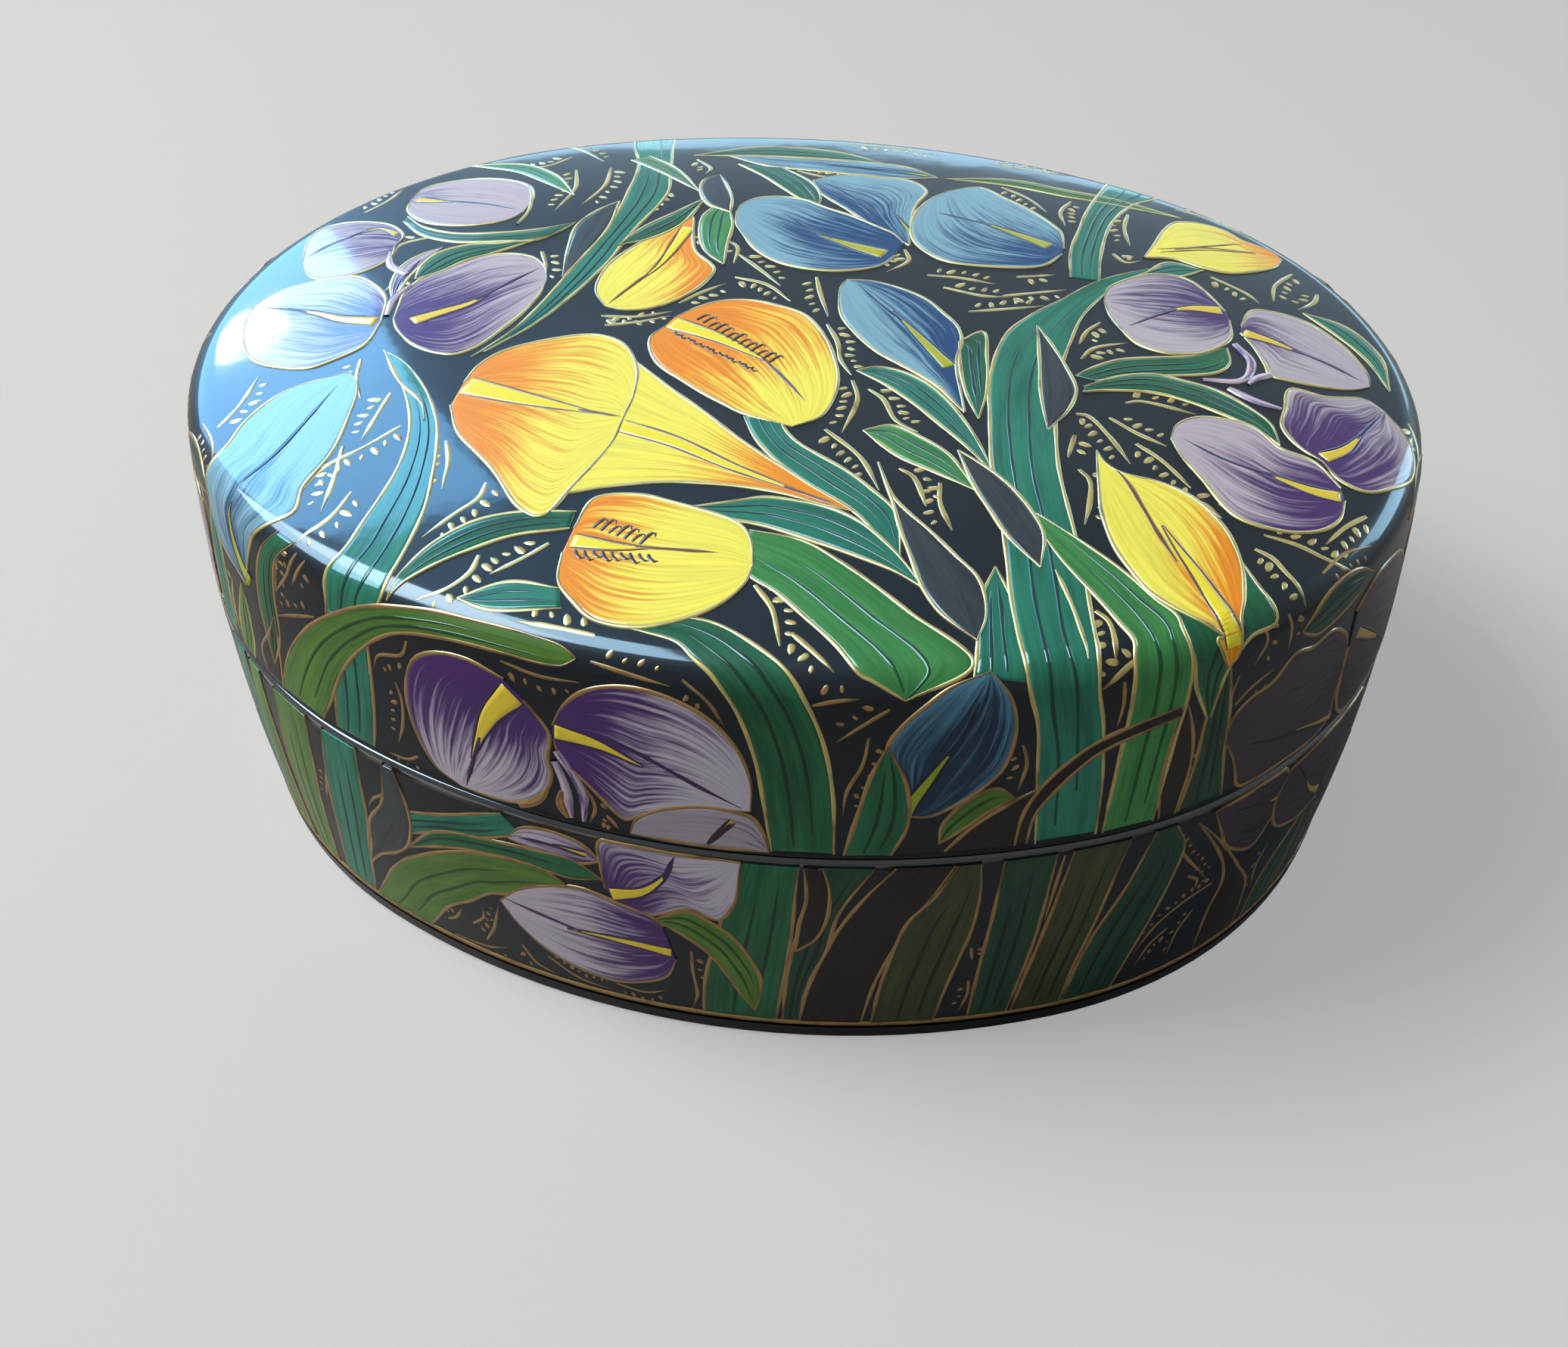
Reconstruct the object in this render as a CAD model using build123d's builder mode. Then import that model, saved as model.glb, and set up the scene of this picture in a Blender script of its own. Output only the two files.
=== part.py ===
"""An oval lidded box of pressed paper pulp, 100 mm long, painted and varnished over a ground coat.

Millimetres, +Z up, +X along the length. The origin is the middle of the underside.

The plan is a four-centre oval. Every ring-shaped piece is one outline carried round that oval, so
its wall is equally thick all the way. An outline is drawn in (out, up): out is measured from the
oval of the seam, positive outwards, and up is the height above the underside.

The wall is one upright curve, widest at the seam, and each layer of it lies at its own depth
below the varnished surface: ground coat, pulp, lining.
"""
import os
from math import atan2, cos, degrees, radians, sin, sqrt

from build123d import *

os.makedirs("parts", exist_ok=True)

# Plan of the box at the seam, where it is widest
half_length = 50.0
half_width = 41.8
flank_radius = 64.0          # curve of the two long sides of the oval

# Heights
seam_height = 21.3           # underside to the joint between base and lid
lid_height = 17.4            # seam to the middle of the lid
floor_thickness = 1.4        # pressed board under the wall, its edge is the black foot line

# Curves of the outer surface
barrel_radius = 144.0        # upright curve of the wall
crown_radius = 144.0         # upright curve of the lid's top towards its edge
crown_reach = 22.5           # from the seam's oval in to the flat middle of the lid
shoulder_radius = 2.6        # rounding between the lid's wall and its top
lip_radius = 0.6             # rounding of both edges at the seam
foot_radius = 0.35           # rounding under the base

# Layers, from the outside in
coat_thickness = 0.5         # gesso, paper, paint and varnish
pulp_thickness = 2.2         # pressed paper pulp
lining_thickness = 0.3       # painted paper inside

# Collar inside the base, which keeps the lid in place
collar_thickness = 1.6
collar_rise = 5.0            # above the seam
collar_lead = 0.3            # chamfer round its top
lid_clearance = 0.35         # between collar and lid lining, all round
lining_clearance = 0.06      # the cut edge of a lining, next to the wall it meets

# Worked out from the sizes above
pulp_depth = coat_thickness + pulp_thickness
lining_depth = pulp_depth + lining_thickness
collar_depth = pulp_depth + collar_thickness
top_height = seam_height + lid_height
collar_top = seam_height + collar_rise
flank_centre = flank_radius - half_width
end_radius = (half_width ** 2 + 2 * flank_centre * half_width - half_length ** 2) \
    / (2 * (flank_radius - half_length))
end_centre = half_length - end_radius
end_angle = degrees(atan2(flank_centre, end_centre))

# The oval's four arcs: centre, radius, angle where it starts, angle that it turns through
ARCS = (
    ((end_centre, 0), end_radius, -end_angle, 2 * end_angle),
    ((0, -flank_centre), flank_radius, end_angle, 180 - 2 * end_angle),
    ((-end_centre, 0), end_radius, 180 - end_angle, 2 * end_angle),
    ((0, flank_centre), flank_radius, 180 + end_angle, 180 - 2 * end_angle),
)


def side(depth, up):
    """How far out the wall's curve lies at a height, at a depth below the surface."""
    return sqrt((barrel_radius - depth) ** 2 - (up - seam_height) ** 2) - barrel_radius


def top(depth, out):
    """How high the lid's curve lies at a distance out, at a depth below the surface."""
    middle = top_height - crown_radius
    return middle + sqrt((crown_radius - depth) ** 2 - (out + crown_reach) ** 2)


def shoulder_centre():
    """Centre of the shoulder's rounding, which touches the wall's curve and the lid's curve."""
    from_wall = barrel_radius - shoulder_radius
    from_crown = crown_radius - shoulder_radius
    across = barrel_radius - crown_reach
    rise = top_height - crown_radius - seam_height
    apart = sqrt(across ** 2 + rise ** 2)
    along = (from_wall ** 2 - from_crown ** 2 + apart ** 2) / (2 * apart)
    aside = sqrt(from_wall ** 2 - along ** 2)
    out = (along * across - aside * rise) / apart - barrel_radius
    up = (along * rise + aside * across) / apart + seam_height
    return out, up


shoulder_out, shoulder_up = shoulder_centre()
wall_angle = atan2(shoulder_up - seam_height, shoulder_out + barrel_radius)
crown_angle = atan2(shoulder_up + crown_radius - top_height, shoulder_out + crown_reach)

# The crown's panel sits on the wall at the level where their inner curves meet
panel_height = top(pulp_depth, side(pulp_depth, shoulder_up))


def oval(out):
    """Fill the oval that lies a distance outside the seam's oval (inside, if negative)."""
    with BuildLine() as edge_line:
        for centre, radius, start, turn in ARCS:
            CenterArc(centre, radius + out, start, turn)
    make_face(edge_line.edges())


def wall_curve(depth, low, high):
    """The wall's curve at a depth, from one height to another."""
    middle = (low + high) / 2
    ThreePointArc((side(depth, low), low), (side(depth, middle), middle), (side(depth, high), high))


def crown_curve(depth, outer, inner):
    """The lid's curve at a depth, from one distance out to another."""
    middle = (outer + inner) / 2
    ThreePointArc((outer, top(depth, outer)), (middle, top(depth, middle)), (inner, top(depth, inner)))


def shoulder_point(depth, angle):
    """Point on the shoulder's rounding at a depth, at an angle up from level."""
    reach = shoulder_radius - depth
    return shoulder_out + reach * cos(angle), shoulder_up + reach * sin(angle)


def lid_outside(depth, low):
    """The lid's outer curve at a depth: up the wall, round the shoulder, in to the flat middle."""
    foot = shoulder_point(depth, wall_angle)
    wall_curve(depth, low, foot[1])
    head = shoulder_point(depth, crown_angle)
    ThreePointArc(foot, shoulder_point(depth, (wall_angle + crown_angle) / 2), head)
    crown_curve(depth, head[0], -crown_reach)


def carry(outline):
    """Carry an outline round the oval: one turn about the centre of each of its four arcs."""
    for centre, radius, start, turn in ARCS:
        across = (cos(radians(start)), sin(radians(start)), 0)
        along = (sin(radians(start)), -cos(radians(start)), 0)
        upright = Plane(origin=(*centre, 0), x_dir=across, z_dir=along)
        with BuildSketch(upright) as section:
            with Locations((radius, 0)):
                add(outline)
        revolve(section.sketch, axis=Axis((*centre, 0), (0, 0, 1)), revolution_arc=turn)


# Base: a floor of pressed board, a wall of pulp standing on it, and a collar inside the wall
with BuildPart() as base_floor:
    with BuildSketch():
        oval(side(0, 0))
    flare = degrees(atan2(side(0, floor_thickness) - side(0, 0), floor_thickness))
    extrude(amount=floor_thickness, taper=-flare)
    fillet(base_floor.edges().group_by(Axis.Z)[0], radius=foot_radius)

with BuildSketch() as base_wall_outline:
    rim = seam_height - coat_thickness
    with BuildLine():
        wall_curve(coat_thickness, floor_thickness, rim)
        Line((side(coat_thickness, rim), rim), (side(pulp_depth, rim), rim))
        wall_curve(pulp_depth, rim, floor_thickness)
        Line((side(pulp_depth, floor_thickness), floor_thickness),
             (side(coat_thickness, floor_thickness), floor_thickness))
    make_face()

with BuildPart() as base_wall:
    carry(base_wall_outline.sketch)

with BuildSketch() as base_coat_outline:
    lip = seam_height - lip_radius
    with BuildLine():
        wall_curve(0, floor_thickness, lip)
        RadiusArc((side(0, lip), lip), (-lip_radius, seam_height), -lip_radius)
        Line((-lip_radius, seam_height), (-pulp_depth, seam_height))
        wall_curve(pulp_depth, seam_height, rim)
        Line((side(pulp_depth, rim), rim), (side(coat_thickness, rim), rim))
        wall_curve(coat_thickness, rim, floor_thickness)
        Line((side(coat_thickness, floor_thickness), floor_thickness),
             (side(0, floor_thickness), floor_thickness))
    make_face()

with BuildPart() as base_ground_coat:
    carry(base_coat_outline.sketch)

with BuildSketch() as collar_outline:
    fit = -(lining_depth + lid_clearance)
    with BuildLine():
        wall_curve(pulp_depth, floor_thickness, seam_height)
        Polyline((-pulp_depth, seam_height), (fit, seam_height), (fit, collar_top - collar_lead),
                 (fit - collar_lead, collar_top), (-collar_depth, collar_top),
                 (-collar_depth, seam_height))
        wall_curve(collar_depth, seam_height, floor_thickness)
        Line((side(collar_depth, floor_thickness), floor_thickness),
             (side(pulp_depth, floor_thickness), floor_thickness))
    make_face()

with BuildPart() as inner_collar:
    carry(collar_outline.sketch)

with BuildPart() as base_floor_lining:
    with BuildSketch(Plane.XY.offset(floor_thickness)):
        oval(side(collar_depth, floor_thickness) - lining_clearance)
    extrude(amount=lining_thickness)

# Lid: a wall of pulp, a crowned panel on top of it, and the coat over both
with BuildSketch() as lid_wall_outline:
    lid_rim = seam_height + coat_thickness
    with BuildLine():
        wall_curve(coat_thickness, lid_rim, panel_height)
        Line((side(coat_thickness, panel_height), panel_height),
             (side(pulp_depth, panel_height), panel_height))
        wall_curve(pulp_depth, panel_height, lid_rim)
        Line((side(pulp_depth, lid_rim), lid_rim), (side(coat_thickness, lid_rim), lid_rim))
    make_face()

with BuildPart() as lid_wall:
    carry(lid_wall_outline.sketch)

with BuildSketch() as lid_crown_outline:
    corner = side(pulp_depth, panel_height)
    with BuildLine():
        lid_outside(coat_thickness, panel_height)
        Line((-crown_reach, top_height - coat_thickness), (-crown_reach, top_height - pulp_depth))
        crown_curve(pulp_depth, -crown_reach, corner)
        Polyline((corner, top(pulp_depth, corner)), (corner, panel_height),
                 (side(coat_thickness, panel_height), panel_height))
    make_face()

with BuildPart() as lid_crown:
    carry(lid_crown_outline.sketch)
    with BuildSketch(Plane.XY.offset(top_height - pulp_depth)):
        oval(-crown_reach)
    extrude(amount=pulp_thickness)

with BuildSketch() as lid_coat_outline:
    lid_lip = seam_height + lip_radius
    with BuildLine():
        RadiusArc((-lip_radius, seam_height), (side(0, lid_lip), lid_lip), -lip_radius)
        lid_outside(0, lid_lip)
        Line((-crown_reach, top_height), (-crown_reach, top_height - coat_thickness))
        lid_outside(coat_thickness, lid_rim)
        Line((side(coat_thickness, lid_rim), lid_rim), (side(pulp_depth, lid_rim), lid_rim))
        wall_curve(pulp_depth, lid_rim, seam_height)
        Line((-pulp_depth, seam_height), (-lip_radius, seam_height))
    make_face()

with BuildPart() as lid_ground_coat:
    carry(lid_coat_outline.sketch)
    with BuildSketch(Plane.XY.offset(top_height - coat_thickness)):
        oval(-crown_reach)
    extrude(amount=coat_thickness)

with BuildSketch() as crown_lining_outline:
    edge = corner - lining_clearance
    with BuildLine():
        crown_curve(pulp_depth, edge, -crown_reach)
        Line((-crown_reach, top_height - pulp_depth), (-crown_reach, top_height - lining_depth))
        crown_curve(lining_depth, -crown_reach, edge)
        Line((edge, top(lining_depth, edge)), (edge, top(pulp_depth, edge)))
    make_face()

with BuildPart() as lid_crown_lining:
    carry(crown_lining_outline.sketch)
    with BuildSketch(Plane.XY.offset(top_height - lining_depth)):
        oval(-crown_reach)
    extrude(amount=lining_thickness)

with BuildSketch() as wall_lining_outline:
    lining_top = top(lining_depth, edge) - lining_clearance
    with BuildLine():
        wall_curve(pulp_depth, lid_rim, lining_top)
        Line((side(pulp_depth, lining_top), lining_top), (side(lining_depth, lining_top), lining_top))
        wall_curve(lining_depth, lining_top, lid_rim)
        Line((side(lining_depth, lid_rim), lid_rim), (side(pulp_depth, lid_rim), lid_rim))
    make_face()

with BuildPart() as lid_wall_lining:
    carry(wall_lining_outline.sketch)

base_floor.part.label = "base_floor"
base_wall.part.label = "base_wall"
base_ground_coat.part.label = "base_ground_coat"
inner_collar.part.label = "inner_collar"
base_floor_lining.part.label = "base_floor_lining"
lid_wall.part.label = "lid_wall"
lid_crown.part.label = "lid_crown"
lid_ground_coat.part.label = "lid_ground_coat"
lid_wall_lining.part.label = "lid_wall_lining"
lid_crown_lining.part.label = "lid_crown_lining"

export_step(base_floor.part, "parts/base_floor.step")
export_step(base_wall.part, "parts/base_wall.step")
export_step(base_ground_coat.part, "parts/base_ground_coat.step")
export_step(inner_collar.part, "parts/inner_collar.step")
export_step(base_floor_lining.part, "parts/base_floor_lining.step")
export_step(lid_wall.part, "parts/lid_wall.step")
export_step(lid_crown.part, "parts/lid_crown.step")
export_step(lid_ground_coat.part, "parts/lid_ground_coat.step")
export_step(lid_wall_lining.part, "parts/lid_wall_lining.step")
export_step(lid_crown_lining.part, "parts/lid_crown_lining.step")
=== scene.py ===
"""Looks of a low oval box of papier mache, painted with flowers in gouache and gold, then varnished.

Lengths in the tables are millimetres, read off the box's skin. The meshes are in metres.
"""
from collections import namedtuple
from math import atan2, cos, hypot, pi, sin, sqrt

import bpy
import numpy as np
from bpy.props import FloatProperty, FloatVectorProperty, PointerProperty
from mathutils import Matrix, Vector


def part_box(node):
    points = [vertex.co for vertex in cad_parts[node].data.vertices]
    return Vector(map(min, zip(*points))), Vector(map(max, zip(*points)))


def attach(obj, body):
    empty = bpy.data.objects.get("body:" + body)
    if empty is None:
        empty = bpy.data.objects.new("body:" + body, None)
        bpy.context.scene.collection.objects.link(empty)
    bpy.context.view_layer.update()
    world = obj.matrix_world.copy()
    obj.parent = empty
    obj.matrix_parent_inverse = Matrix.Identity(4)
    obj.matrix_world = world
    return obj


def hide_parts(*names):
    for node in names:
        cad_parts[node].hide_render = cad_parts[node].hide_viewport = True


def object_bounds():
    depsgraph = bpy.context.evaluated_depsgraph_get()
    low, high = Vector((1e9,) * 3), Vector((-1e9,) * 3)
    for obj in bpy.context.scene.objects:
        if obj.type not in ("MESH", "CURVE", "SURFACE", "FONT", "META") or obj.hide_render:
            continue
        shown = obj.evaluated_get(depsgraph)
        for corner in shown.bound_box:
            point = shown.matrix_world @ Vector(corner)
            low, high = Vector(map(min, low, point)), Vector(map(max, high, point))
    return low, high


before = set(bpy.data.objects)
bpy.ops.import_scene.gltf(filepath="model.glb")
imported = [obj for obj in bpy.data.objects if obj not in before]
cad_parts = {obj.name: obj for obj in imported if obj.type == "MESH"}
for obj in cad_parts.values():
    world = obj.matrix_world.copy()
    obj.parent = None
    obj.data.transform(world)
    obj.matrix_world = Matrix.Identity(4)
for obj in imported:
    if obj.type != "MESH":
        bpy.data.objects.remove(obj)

bl_info = {
    "name": "Painted papier mache box",
    "version": (1, 0, 0),
    "blender": (4, 5, 0),
    "location": "3D View > Sidebar > Box",
    "description": "Paints and varnishes an oval lidded box of papier mache",
    "category": "Object",
}

MM = 0.001
CAD_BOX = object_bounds()
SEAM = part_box("base_ground_coat")[1].z / MM
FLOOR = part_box("base_floor")[1].z / MM
COAT_INSIDE = 2.7            # how far in the coat's lip reaches, over the edge of the pulp
COAT_DEPTH = 0.5

# Weight of the varnish: over all, on the base's rim at the seam, and on the lid's rim above it
VARNISH, VARNISH_BASE_RIM, VARNISH_LID_RIM = 0.27, 1.0, 0.1

Wall = namedtuple("Wall", "s v")     # a point given round the wall: along the seam, up the curve
W = Wall


# ---------------------------------------------------------------- colours

def linear(code):
    """sRGB hex code as linear red, green and blue."""
    value = np.array([int(code[i:i + 2], 16) for i in (1, 3, 5)]) / 255
    return np.where(value <= 0.04045, value / 12.92, ((value + 0.055) / 1.055) ** 2.4)


def rgba(code):
    return (*linear(code), 1.0)


def as_linear(colour):
    """A hex code, or a property that is linear already."""
    return linear(colour) if isinstance(colour, str) else tuple(colour)


# Paints, from the light one at a petal's edge to the deep one at its heart
PAINTS = {
    "yellow": ("#F1EE5E", "#EE930A"),
    "lilac": ("#B6B0C0", "#452468"),
    "mauve": ("#9A93A0", "#402A4F"),
    # A lilac darkened as painted shade, for the petals at the shaded right end of the wall
    "dusk": ("#322D36", "#171020"),
    "blue": ("#7CADC6", "#113F76"),
    # A blue darkened as painted shade, for a petal on the shaded front of the lid's wall
    "slate": ("#4A7C98", "#0E2A44"),
    "teal": ("#237F69", "#135C4A"),
    "green": ("#1B6742", "#0B452B"),
    "fresh": ("#42904C", "#246A34"),
    "olive": ("#557F2B", "#38601F"),
    # A deep green: partly the leaves' own dark green, partly painted shade on the shaded right of the walls
    "dark": ("#17452F", "#0A2B1D"),
    # An olive darkened as painted shade, for leaves on the shaded right of the base's wall
    "moss": ("#3A4422", "#262E18"),
    "bud": ("#333D43", "#20272B"),
    "umber": ("#1A140F", "#0E0B09"),
}
VEINS = {
    "yellow": ("#EFE734", "#6E4812"),
    "lilac": ("#E0C93A", "#33204A"),
    "mauve": ("#B8963E", "#2B1D26"),
    # Veins of the shaded lilac petals, dimmed with them as painted shade
    "dusk": ("#A88A36", "#20141E"),
    "blue": ("#AFB428", "#0C2440"),
    # Veins of the shaded blue petal, dimmed with it as painted shade
    "slate": ("#93A024", "#0A1A2C"),
}
LEAF_LINES = {"teal": "#0A3A30", "green": "#06301C", "fresh": "#124A24", "olive": "#1E4414",
    # The lines of the dark and shaded olive leaves are darkened with them, partly as painted shade
    "dark": "#051C12",
              "moss": "#141A0A"}

# A petal's grade is how far its deep paint reaches: a constant, then by the way along, by the way
# across from left to right, and by the distance from the middle.
Petal = namedtuple("Petal", "paint level left right grade vein width rib")
Leaf = namedtuple("Leaf", "paint level left right")

# ---------------------------------------------------------------- what is painted on the lid's top
# (x, y) seen from above. Edges run from a petal's base to its tip. A higher level lies on top.

TOP_PETALS = (
    Petal("yellow", 4,
          [(-23.6, -13.2), (-23.3, -10.5), (-22, -8), (-19, -5.6), (-15.6, -4.2), (-13.2, -5.1),
          (-11.3, -8.2),
           (-10.5, -12), (-10.4, -15.5)],
          [(-23.6, -16.4), (-21.9, -19.7), (-18.1, -23.5), (-14.7, -27.6), (-13, -28.3), (-11.7, -24.5),
           (-10.4, -19), (-10.4, -15.5)],
          (1.15, -1.65, 0, 0), [(-23.4, -13.6), (-18, -14.6), (-12.4, -15.4)],
          2.3, [(-14, -15.2), (-10.6, -15.5)]),
    Petal("yellow", 2,
          [(-11.5, -7.5), (-7.8, -10.9), (-4.7, -13.5), (-1.3, -16.6), (2, -19.2), (4.9, -21.4),
          (8.4, -23.8)],
          [(-12.5, -25.9), (-9.2, -24.2), (-4.7, -22.8), (1.8, -22.5), (5.8, -23.3), (8.4, -23.8)],
          (-0.35, 1.6, 0, 0), [(-10.4, -16.6), (-6, -17.9), (-1, -20.3), (4.4, -22.4)],
          1.5, [(3, -21.9), (7, -23.3)]),
    Petal("yellow", 3,
          [(-10.2, -0.3), (-8.7, 1.8), (-7, 3.2), (-4.7, 3.8), (-2.3, 3.4), (-0.1, 2.5), (1.5, 0.6),
          (2.7, -1.6),
           (3.7, -4.2), (4.4, -7), (4.5, -9.9), (3.9, -12.5), (2.2, -14.2)],
          [(-10.6, -1.8), (-11.3, -3.7), (-10.1, -7), (-7.3, -9.5), (-3.7, -12), (-1.6, -13.2), (2.2, -14.2)],
          (1.2, -1.3, 0.15, 0), [(-10.2, -1.1), (-5.8, -2.8), (-1.3, -5.6)],
          1.8, [(-2, -5), (0.4, -7.8), (2.5, -10.6)]),
    Petal("yellow", 3,
          [(-12.7, 17.5), (-15.5, 13), (-17.5, 8.4), (-17.9, 4.9), (-17.5, 2.5), (-16.2, 0.5)],
          [(-12.7, 17.5), (-11.1, 11.3), (-9.4, 9.4), (-8.8, 8.4), (-9.2, 5.8), (-10.4, 3.2), (-12.3, 1),
           (-14.4, 0.2), (-16.2, 0.5)],
          (1.0, -1.15, 0.3, 0), [(-12.7, 15.5), (-13.5, 8.4), (-14.3, 5.6)],
          1.1, [(-14.1, 6.5), (-15.3, 3), (-16, 0.8)]),
    Petal("yellow", 4,
          [(-10.3, -29.2), (-9.7, -25.7), (-6.8, -24.8), (-4.7, -25.1), (0.6, -26.6), (1.8, -28),
          (2.6, -30.8)],
          [(-10.4, -31.8), (-9.9, -34.5), (-8.5, -36.1), (-6.6, -37.6), (-3.7, -37.8), (-0.9, -36.6),
          (1.3, -34.7),
           (2.4, -32.6), (2.6, -30.8)],
          (1.15, -1.8, 0, 0), [(-10.1, -30.5), (-7, -30.6), (-4.7, -30.4)],
          1.3, [(-5.6, -30.4), (-3, -30.2), (0.1, -30)]),
    Petal("yellow", 4,
          [W(37.3, 12.8), W(36.5, 15.4), (34.1, -30.1), (32, -29.5), (30.5, -28.8), (28.9, -27.7),
          (27.3, -25.5),
           (26.2, -23.4), (25.3, -20.3), (24.9, -17.2), (24.5, -12.9)],
          [W(37.3, 12.8), (35.3, -30), (35.1, -28.6), (35.2, -26.5), (35, -23.5), (34.1, -20.5),
          (33.1, -18.8), (31.5, -17),
           (29, -15.8), (26.6, -15.4), (25.4, -14.6), (24.5, -12.9)],
          (0.95, -1.25, 0.35, -0.05), [(34.9, -30), (33.7, -28.3), (31.9, -25.1), (30.5, -22.7),
          (29.5, -20.8)], 1.35,
          [(30.6, -24.4), (29.2, -21.6), (28.1, -19.1), (26.6, -15.9), (25, -14)]),
    Petal("yellow", 3,
          [(26.9, 18.4), (29.5, 18.9), (31.9, 18), (34.2, 17.7), (36.6, 19.1), (38.3, 20.8), (38.8, 22.5)],
          [(26.9, 18.4), (27.8, 21.8), (28.5, 24.9), (29.7, 27.2), (31.9, 27.7), (34, 26.8), (35.4, 25.3),
           (37.8, 24.1), (38.8, 22.5)],
          (-0.6, 1.4, 0, 0), [(28, 20), (32, 21.8), (36.5, 22.8)], 0.5, [(29.5, 20.8), (35.4, 24.4)]),
    Petal("lilac", 2,
          [(-32.4, -4.9), (-32.8, -2.5), (-33.1, -0.4), (-32.6, 1.8), (-31.5, 3.6), (-30.5, 4.7),
          (-28.5, 6.9),
           (-26.1, 7.7), (-24.4, 7.4), (-22.9, 5.8), (-22.2, 3.9)],
          [(-32.4, -4.9), (-31.6, -6.3), (-29.6, -8.3), (-27.2, -9.3), (-25.7, -9.2), (-24.5, -7.9),
          (-23.3, -4.8),
           (-22.4, -1.5), (-22, 1.7), (-22.2, 3.9)],
          (1.25, -1.15, 0.1, -0.3), [(-30.8, -5), (-29, -3.2), (-27.1, -1.3), (-25.8, 1.2)], 1.2,
          [(-26.8, -0.8), (-25, 2.8), (-23.3, 5.6)]),
    Petal("lilac", 2,
          [(-39.2, 17.7), (-38.8, 20.6), (-36.7, 22.2), (-33.8, 23), (-31, 22.6), (-29, 21.3), (-27.9, 18.7),
           (-27.9, 15.8)],
          [(-39.2, 17.7), (-38.6, 15.1), (-36.7, 13), (-33.8, 12.2), (-31, 12.7), (-28.8, 13.9),
          (-27.9, 15.8)],
          (0.55, -0.75, -0.25, -0.4), [(-38.6, 17.5), (-35, 17)],
          1.1, [(-36, 17.3), (-32, 16.9), (-28.5, 16)]),
    Petal("lilac", 3,
          [(-33.3, -5.4), (-34.5, -1.3), (-38.1, 1.8), (-39.8, 1.5), (-44, -0.9), (-45.2, -3.5)],
          [(-33.3, -5.4), (-33.3, -9), (-34.8, -11.3), (-36.7, -12.8), (-41.4, -12), (-44.2, -8),
          (-45.2, -3.5)],
          (1.1, -1.0, 0, -0.4), [(-33.6, -5.4), (-36.7, -5.4), (-39, -4.7), (-42, -4)],
          1.3, [(-40, -4.5), (-44.5, -3.7)]),
    Petal("lilac", 2,
          [(-37, 7.6), (-37, 9.7), (-38.9, 11.8), (-41.2, 12.5), (-44, 12.2), (-45.5, 10.6), (-45.4, 8.1),
          (-44.1, 4.1)],
          [(-37, 7.6), (-36.6, 5.8), (-36.9, 4.4), (-38.2, 2.6), (-40.1, 1.4), (-42.1, 1.5), (-44.1, 4.1)],
          (0.9, -0.9, -0.1, -0.2), [(-37.6, 9.9), (-39.8, 11), (-41.8, 9.5)],
          0.6, [(-41, 10.2), (-43.2, 7.4), (-44.1, 5.3)]),
    Petal("lilac", 1,
          [(-33.7, -1.8), (-34.8, 1), (-35, 4.2), (-34.1, 6.3), (-32.7, 8)],
          [(-33.5, -1.8), (-33.7, 1.6), (-33.4, 4.4), (-32.7, 8)],
          (0.7, -0.6, 0, 0), [(-33.7, -0.6), (-34.2, 2)], 0.3, [(-34.2, 1.4), (-33.8, 5.4)]),
    Petal("lilac", 3,
          [(33.8, 10.2), (32.1, 13.4), (30.7, 15.1), (29.2, 15.6), (27.3, 15.1), (24.2, 12), (23.9, 9.6)],
          [(34.1, 8.8), (34.2, 6), (33, 3.9), (31.6, 2.7), (29.2, 2.2), (27.1, 3), (25.7, 4.9), (24.5, 7.2),
           (23.9, 9.6)],
          (1.1, -1.0, -0.3, -0.35), [(33.5, 10.3), (31, 10), (28.8, 8.9)],
          1.3, [(29.8, 9.5), (27.6, 7.4), (26.1, 5.8)]),
    Petal("lilac", 2,
          [(35, 8.2), (36.1, 11.3), (38.3, 11.5), (40.7, 10.6), (42.8, 8.4), (44.2, 6), (45, 3.7), (45, 2)],
          [(35, 7), (35.9, 5.3), (36.9, 2.5), (37.3, 1), (39, 0.6), (43.5, 1), (45, 2)],
          (0.85, -1.0, 0.15, -0.4), [(35.2, 7.1), (37.4, 6.4), (40, 5.1)],
          1.2, [(39, 5.6), (42, 4.2), (44.5, 2.5)]),
    Petal("lilac", 3,
          [(40.9, -9.9), (39.2, -8.5), (38, -6.1), (38.3, -3.5), (38.8, -0.6), (41.4, -0.9), (44.5, -0.1),
          (45.9, -1.3)],
          [(40.9, -9.9), (42.1, -11.8), (44, -12.5), (45.9, -11.3), (47.6, -9), (48, -6.6), (47.3, -4),
          (45.9, -1.3)],
          (1.25, -0.9, 0, -0.4), [(40.9, -9.4), (42.6, -7.8), (44.2, -4.9)],
          1.1, [(43.6, -6), (44.8, -3.6), (45.8, -1.8)]),
    Petal("lilac", 4,
          [(42.1, -12.8), (40.2, -10.1), (37.8, -9.2), (35.9, -7), (33.8, -6.5), (31.6, -6.8), (30.2, -8.2),
           (29.8, -10.1)],
          [(42.3, -14.2), (41.9, -16.4), (40.7, -18), (38.8, -18.9), (36.6, -19), (34.5, -18.3),
          (32.3, -14.9),
           (30.7, -12.3), (29.8, -10.1)],
          (1.15, -1.1, 0.15, -0.4), [(42.1, -13.9), (40, -13.8), (35.9, -12.5)],
          1.2, [(37.4, -13), (33.6, -11.8), (30.5, -9.9)]),
    Petal("blue", 3,
          [(6.3, 16.3), (5.1, 18), (3.4, 19.1), (1, 20.6), (-1.6, 21.8), (-3.7, 23), (-5.9, 23.2),
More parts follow.
